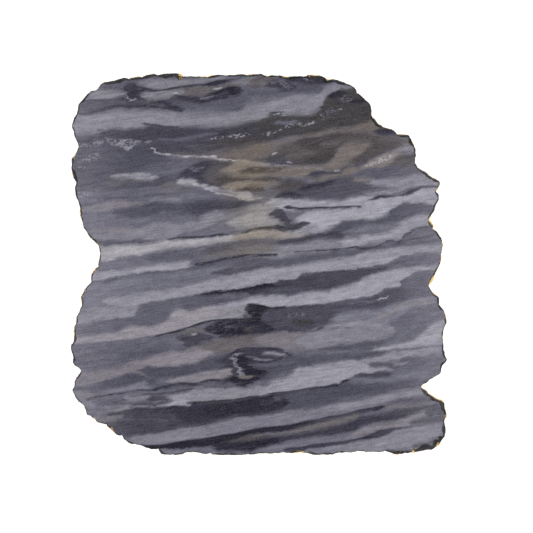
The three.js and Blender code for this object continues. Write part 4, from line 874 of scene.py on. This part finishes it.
class Material:
    """Adds nodes to a material or a group of nodes, each linked to what it reads."""

    def __init__(self, name):
        self.material = bpy.data.materials.new(name)
        self.material.use_nodes = True
        self.tree = self.material.node_tree
        self.tree.nodes.clear()

    @classmethod
    def group(cls, name):
        """A builder for a new group of nodes."""
        made = cls.__new__(cls)
        made.tree = bpy.data.node_groups.new(name, "ShaderNodeTree")
        return made

    def socket(self, name, kind, direction):
        """Adds a socket to the group."""
        self.tree.interface.new_socket(name, in_out=direction, socket_type=kind)

    @staticmethod
    def find_input(node, name):
        """A node's input by number, name or identifier."""
        if isinstance(name, str) and name not in node.inputs:
            return next(socket for socket in node.inputs if socket.identifier == name)
        return node.inputs[name]

    def node(self, kind, inputs=None, **settings):
        """A node with its settings, and its inputs linked or set by name or number."""
        node = self.tree.nodes.new("ShaderNode" + kind)
        for name, value in settings.items():
            setattr(node, name, value)
        return self.fill(node, inputs or {})

    def fill(self, node, inputs):
        """Links or sets a node's inputs."""
        for name, value in inputs.items():
            socket = self.find_input(node, name)
            if isinstance(value, bpy.types.NodeSocket):
                self.tree.links.new(value, socket)
            else:
                socket.default_value = value
        return node

    def math(self, operation, *values):
        """The result of a Math node."""
        return self.node("Math", dict(enumerate(values)), operation=operation).outputs[0]

    def vector(self, operation, *values):
        """The vector result of a Vector Math node."""
        return self.node("VectorMath", dict(enumerate(values)), operation=operation).outputs["Vector"]

    def scale(self, value, share):
        """A vector or colour times a number."""
        return self.node("VectorMath", {0: value, "Scale": share}, operation="SCALE").outputs["Vector"]

    def join(self, x, y, z):
        """A vector from three numbers."""
        return self.node("CombineXYZ", {"X": x, "Y": y, "Z": z}).outputs[0]

    def attribute(self, name):
        """A number that the mesh carries from place to place."""
        return self.node("Attribute", attribute_name=name, attribute_type="GEOMETRY").outputs["Fac"]

    def noise(self, place, size, detail, roughness):
        """Noise with features of a size in mm, for a place in mm, from 0 to 1."""
        inputs = {"Vector": place, "Scale": 1 / size, "Detail": detail, "Roughness": roughness}
        return self.node("TexNoise", inputs).outputs[0]

    def stretched_noise(self, lying, name):
        """Noise drawn out along the strata, from -0.5 to 0.5."""
        length, height, detail, roughness, shift = STRETCHED_NOISES[name]
        shape = (height / length, 1.0, FLOW_CHANGE)
        spot = self.vector("MULTIPLY_ADD", lying, shape, (shift, shift, shift))
        return self.math("SUBTRACT", self.noise(spot, height, detail, roughness), 0.5)

    def ramp(self, value, low, high, out_low=0.0, out_high=1.0):
        """A number eased from one range into another."""
        inputs = {"Value": value, "From Min": low, "From Max": high, "To Min": out_low, "To Max": out_high}
        return self.node("MapRange", inputs, interpolation_type="SMOOTHSTEP").outputs[0]

    def mix(self, share, first, second, blend="MIX"):
        """One colour laid over another."""
        node = self.node("Mix", {0: share, 6: first, 7: second}, data_type="RGBA", blend_type=blend)
        return node.outputs[2]

    def mix_numbers(self, share, first, second):
        """One number laid over another."""
        return self.node("Mix", {0: share, 2: first, 3: second}, data_type="FLOAT").outputs[0]


def set_curve(curve, points):
    """Gives a curve its points, eased between them."""
    while len(curve.points) < len(points):
        curve.points.new(0.5, 0.5)
    for point, place in zip(curve.points, points):
        point.location = place
        point.handle_type = "AUTO_CLAMPED"


def add_stratum(m, colour, stratum, across, heights):
    """Lays one stratum over a colour. Heights are the places above and below an edge, by style."""
    tone, style, rows = stratum
    style = STYLES[style]
    curves = m.node("VectorCurve", {"Vector": across})
    mapping = curves.mapping
    mapping.extend = "HORIZONTAL"
    mapping.use_clip = False
    set_curve(mapping.curves[0], [(x / REACH, upper / REACH) for x, upper, _ in rows])
    set_curve(mapping.curves[1], [(x / REACH, -lower / REACH) for x, _, lower in rows])
    set_curve(mapping.curves[2], [(-1.0, 0.0), (1.0, 0.0)])
    mapping.update()

    height = heights[style.upper_ragged, style.lower_ragged, style.pattern]
    inside = m.vector("ADD", curves.outputs["Vector"], height)
    fade_in, full, gone = PATTERNS[style.pattern]
    upper_half = style.upper_soft / 2 / REACH
    lower_half = style.lower_soft / 2 / REACH
    outside = m.node("MapRange", {
        "Vector": inside,
        "From_Min_FLOAT3": (-upper_half, -lower_half, fade_in),
        "From_Max_FLOAT3": (upper_half, lower_half, full),
        "To_Min_FLOAT3": (1.0, 1.0, gone),
        "To_Max_FLOAT3": (0.0, 0.0, 0.0),
    }, data_type="FLOAT_VECTOR", interpolation_type="SMOOTHSTEP").outputs["Vector"]
    far = m.node("VectorMath", {0: outside}, operation="LENGTH").outputs["Value"]
    cover = m.math("MULTIPLY_ADD", far, -style.strength, style.strength)
    return m.mix(cover, colour, tone_colour(tone))


def reaches(stratum, zone):
    """True if any of a stratum lies in or close to a zone."""
    _, _, rows = stratum
    top = ZONE_BORDERS[zone - 1] if zone else math.inf
    bottom = ZONE_BORDERS[zone] if zone < len(ZONE_BORDERS) else -math.inf
    highest = max(upper for _, upper, _ in rows)
    lowest = min(lower for _, _, lower in rows)
    return highest > bottom - ZONE_MARGIN and lowest < top + ZONE_MARGIN


def height_name(key):
    """The name of a socket that carries the heights for one kind of edges and pattern."""
    upper_ragged, lower_ragged, pattern = key
    return f"{'ragged' if upper_ragged else 'smooth'} {'ragged' if lower_ragged else 'smooth'} {pattern}"


def lay_strata(m, strata, zone, across, heights):
    """Lays a zone's strata in turn, in groups of nodes, and gives the colour that they make."""
    colour = tone_colour("mid")
    strata = [stratum for stratum in strata if reaches(stratum, zone)]
    for first in range(0, len(strata), STRATA_IN_GROUP):
        group = Material.group(f"strata_{zone + 1}_{first // STRATA_IN_GROUP + 1}")
        group.socket("Colour", "NodeSocketColor", "INPUT")
        group.socket("Across", "NodeSocketVector", "INPUT")
        for key in heights:
            group.socket(height_name(key), "NodeSocketVector", "INPUT")
        group.socket("Colour", "NodeSocketColor", "OUTPUT")
        given = group.tree.nodes.new("NodeGroupInput").outputs
        inner = given["Colour"]
        inner_heights = {key: given[height_name(key)] for key in heights}
        for stratum in strata[first:first + STRATA_IN_GROUP]:
            inner = add_stratum(group, inner, stratum, given["Across"], inner_heights)
        group.tree.links.new(inner, group.tree.nodes.new("NodeGroupOutput").inputs["Colour"])
        inputs = {"Colour": colour, "Across": across}
        inputs.update({height_name(key): value for key, value in heights.items()})
        node = m.tree.nodes.new("ShaderNodeGroup")
        node.node_tree = group.tree
        colour = m.fill(node, inputs).outputs["Colour"]
    return colour


def place_in_strata(m, lying, x, y):
    """Where a place lies along the strata, and its heights above and below an edge, by style."""
    wander = m.stretched_noise(lying, "wander")
    streaks = m.stretched_noise(lying, "streaks")
    lumps = m.stretched_noise(lying, "lumps")
    smooth_y = m.math("MULTIPLY_ADD", wander, WANDER, y)
    streaked_y = m.math("MULTIPLY_ADD", streaks, STREAKS, smooth_y)
    ragged_y = m.math("MULTIPLY_ADD", lumps, LUMPS, streaked_y)
    frayed_x = m.math("MULTIPLY_ADD", streaks, FRAYING, x)
    across_number = m.math("MULTIPLY", frayed_x, 1 / REACH)
    across = m.join(across_number, across_number, across_number)
    amounts = {}
    for pattern in PATTERNS:
        amounts[pattern] = m.math("ADD", m.stretched_noise(lying, pattern), 0.5) if pattern else 0.0
    kinds = {(style.upper_ragged, style.lower_ragged, style.pattern) for style in STYLES.values()}
    heights = {}
    for upper_ragged in (False, True):
        above = m.math("MULTIPLY", ragged_y if upper_ragged else smooth_y, -1 / REACH)
        for lower_ragged in (False, True):
            below = m.math("MULTIPLY", ragged_y if lower_ragged else smooth_y, 1 / REACH)
            for pattern, amount in amounts.items():
                if (upper_ragged, lower_ragged, pattern) in kinds:
                    heights[upper_ragged, lower_ragged, pattern] = m.join(above, below, amount)
    return across, heights


def stain_stone(m, colour, x, y):
    """The stone paler towards its sides, and warm round its heart."""
    beside = m.ramp(m.math("ABSOLUTE", x), *PALE_SIDES)
    colour = m.mix(beside, colour, tone_colour("light"))
    spot = m.join(x, m.math("MULTIPLY", y, STAIN_FLATNESS), 0.0)
    distance = m.node("VectorMath", {0: spot, 1: STAIN_MIDDLE}, operation="DISTANCE").outputs["Value"]
    return m.mix(m.ramp(distance, *STAIN_REACH), colour, STAIN, blend="MULTIPLY")


def grain_stone(m, colour, lying, place):
    """The stone with its fine layers, clouds, crystal grain and light flecks, and the grain's noise."""
    layers = m.stretched_noise(lying, "layers")
    clouds = m.stretched_noise(lying, "clouds")
    grain = m.math("SUBTRACT", m.noise(place, *NOISES["grain"]), 0.5)
    light = m.math("MULTIPLY_ADD", layers, LAYER_CONTRAST, 1.0)
    light = m.math("MULTIPLY_ADD", clouds, CLOUD_CONTRAST, light)
    light = m.math("MULTIPLY_ADD", grain, GRAIN_CONTRAST, light)
    lift = m.math("MULTIPLY_ADD", grain, GRAIN_LIFT, m.math("MULTIPLY", layers, LAYER_LIFT))
    lit = m.vector("ADD", m.scale(colour, light), lift)
    fleck = m.ramp(m.noise(place, *NOISES["flecks"]), *FLECK_RANGE)
    stone = m.mix(m.math("MULTIPLY", fleck, FLECK_STRENGTH), lit, tone_colour("light"))
    return stone, grain


def break_stone(m, stone, crystals, broken, shade):
    """The stone where it is broken, speckled dark and light by its crystals and darker overall: partly
    darker broken stone and partly painted shade on the chipped bevels, with painted shade in the scars'
    hollows and painted highlight on their ridges.
    """
    # painted shade: the broken stone is made darker partly for its own dark tone and partly as shade on its
    # chipped bevels, and it takes the painted shade and highlight of its relief
    rim_tone_and_shade = m.math("MULTIPLY", m.ramp(crystals, *CRYSTAL_RANGE, *RIM_TONE_AND_SHADE), shade)
    return m.mix(broken, stone, m.scale(stone, rim_tone_and_shade))


def gild_stone(m, stone, place, depth, broken, shade):
    """The stone with gold leaf over much of its broken rim, the gold's tone carrying painted shade in the
    scars' hollows and painted highlight on their ridges, and the gold's share from place to place.
    """
    patches = m.noise(place, *NOISES["gold_patches"])
    thickness = m.math("MULTIPLY_ADD", patches, GOLD_PATCHES, m.ramp(depth, *GOLD_DEPTHS))
    gold = m.math("MULTIPLY", m.ramp(thickness, *GOLD_RANGE), broken)
    leaf = m.ramp(m.noise(place, *NOISES["leaf"]), *LEAF_RANGE)
    # painted shade and highlight: the gold's tone is darkened in the scars' hollows and lightened on their
    # ridges
    gold_tone_and_shade = m.scale(m.mix(leaf, GOLD_DEEP, GOLD_BRIGHT), shade)
    return m.mix(gold, stone, gold_tone_and_shade), gold


def make_marble(strata, zone):
    """Banded marble for one zone, polished on the flat faces, and broken and gilded on the rim."""
    m = Material(f"banded_marble_{zone + 1}")
    place = m.scale(m.node("TexCoord").outputs["Object"], 1 / MM)
    axes = m.node("SeparateXYZ", {0: place}).outputs
    depth = m.math("SUBTRACT", DEPTH_OF_FACE, axes[2])
    x = m.math("MULTIPLY_ADD", depth, DIP[0], m.math("ADD", axes[0], STRATA_MIDDLE[0]))
    y = m.math("MULTIPLY_ADD", depth, DIP[1], m.math("ADD", axes[1], STRATA_MIDDLE[1]))
    lying = m.join(x, m.math("MULTIPLY_ADD", x, -FLOW_SLOPE, y), axes[2])
    across, heights = place_in_strata(m, lying, x, y)
    colour = lay_strata(m, strata, zone, across, heights)
    colour = stain_stone(m, colour, x, y)
    stone, grain = grain_stone(m, colour, lying, place)

    broken = m.attribute("broken")
    # painted shade in the flake scars' hollows and painted highlight on their ridges, from the rim's relief
    shade = m.ramp(m.attribute("relief"), *RELIEF_SHADE_AND_HIGHLIGHT)
    crystals = m.noise(place, *NOISES["crystals"])
    stone = break_stone(m, stone, crystals, broken, shade)
    base, gold = gild_stone(m, stone, place, depth, broken, shade)

    polish = m.math("MULTIPLY_ADD", grain, POLISH_CHANGE, POLISH)
    rough = m.mix_numbers(broken, polish, RIM_ROUGHNESS)
    rough = m.mix_numbers(gold, rough, GOLD_ROUGHNESS)
    bumps = m.math("ADD", crystals, m.noise(place, *NOISES["bumps"]))
    bump_height = m.math("MULTIPLY_ADD", broken, RIM_BUMP - FACE_BUMP, FACE_BUMP)
    bump_height = m.math("MULTIPLY", bumps, bump_height)
    bump = m.node("Bump", {"Height": bump_height, "Distance": MM, "Strength": 1.0}).outputs[0]
    shader = m.node("BsdfPrincipled", {
        "Base Color": base,
        "Metallic": gold,
        "Roughness": rough,
        "Normal": bump,
        "Specular IOR Level": FACE_SPECULAR,
    }).outputs[0]
    m.node("OutputMaterial", {"Surface": shader})
    return m.material


# ---------------------------------------------------------------- the studio

CAMERA_PLACE = (0.0062, -0.00185, 1.0198)   # m
CAMERA_LENS = 85.0              # mm
CAMERA_SENSOR = 36.0            # mm
WHITE = (1.0, 1.0, 1.0, 1.0)
FLOOR_SIZE = 8.0                # m
FLOOR_TONE = (0.9, 0.9, 0.9, 1.0)
FLOOR_ROUGHNESS = 0.9
FLOOR_GLOW = 0.55               # keeps the floor an even white round the slab
SKY_STRENGTH = 0.62
LAMP_POWER = 9.0                # W
LAMP_SIZE = 1.3                 # m
LAMP_PLACES = ((-1.5, 0.9, 1.35), (1.5, 0.9, 1.35), (-1.3, -1.2, 1.35), (1.3, -1.2, 1.35))      # m


def make_camera():
    """A long lens looking straight down."""
    data = bpy.data.cameras.new("camera")
    data.lens = CAMERA_LENS
    data.sensor_width = CAMERA_SENSOR
    camera = bpy.data.objects.new("camera", data)
    camera.location = CAMERA_PLACE
    bpy.context.scene.collection.objects.link(camera)
    bpy.context.scene.camera = camera


def make_lamps():
    """Large soft lamps round the slab, each turned towards it."""
    for index, place in enumerate(LAMP_PLACES, start=1):
        data = bpy.data.lights.new(f"softbox_{index}", "AREA")
        data.size = LAMP_SIZE
        data.energy = LAMP_POWER
        lamp = bpy.data.objects.new(f"softbox_{index}", data)
        lamp.location = place
        lamp.rotation_euler = (-Vector(place)).to_track_quat("-Z", "Y").to_euler()
        bpy.context.scene.collection.objects.link(lamp)


def make_sky():
    """A plain white sky, shown in its true tones."""
    world = bpy.data.worlds.new("pale_sky")
    world.use_nodes = True
    background = world.node_tree.nodes["Background"]
    background.inputs["Color"].default_value = WHITE
    background.inputs["Strength"].default_value = SKY_STRENGTH
    bpy.context.scene.world = world
    bpy.context.scene.view_settings.view_transform = "Standard"


def make_floor():
    """A plain pale floor under the slab."""
    mesh = bpy.data.meshes.new("floor")
    half = FLOOR_SIZE / 2
    corners = [(-half, -half, 0), (half, -half, 0), (half, half, 0), (-half, half, 0)]
    mesh.from_pydata(corners, [], [(0, 1, 2, 3)])
    floor = bpy.data.objects.new("floor", mesh)
    bpy.context.scene.collection.objects.link(floor)
    m = Material("floor_white")
    shader = m.node("BsdfPrincipled", {
        "Base Color": FLOOR_TONE,
        "Roughness": FLOOR_ROUGHNESS,
        "Emission Color": WHITE,
        "Emission Strength": FLOOR_GLOW,
    }).outputs[0]
    m.node("OutputMaterial", {"Surface": shader})
    mesh.materials.append(m.material)


# ---------------------------------------------------------------- the scene

make_camera()
make_lamps()
make_sky()
make_floor()

slab = build_slab(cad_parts["marble_slab"], *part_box("marble_slab"))
strata = read_strata()
for zone in range(len(ZONE_BORDERS) + 1):
    slab.data.materials.append(make_marble(strata, zone))
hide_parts("marble_slab")
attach(slab, "root")
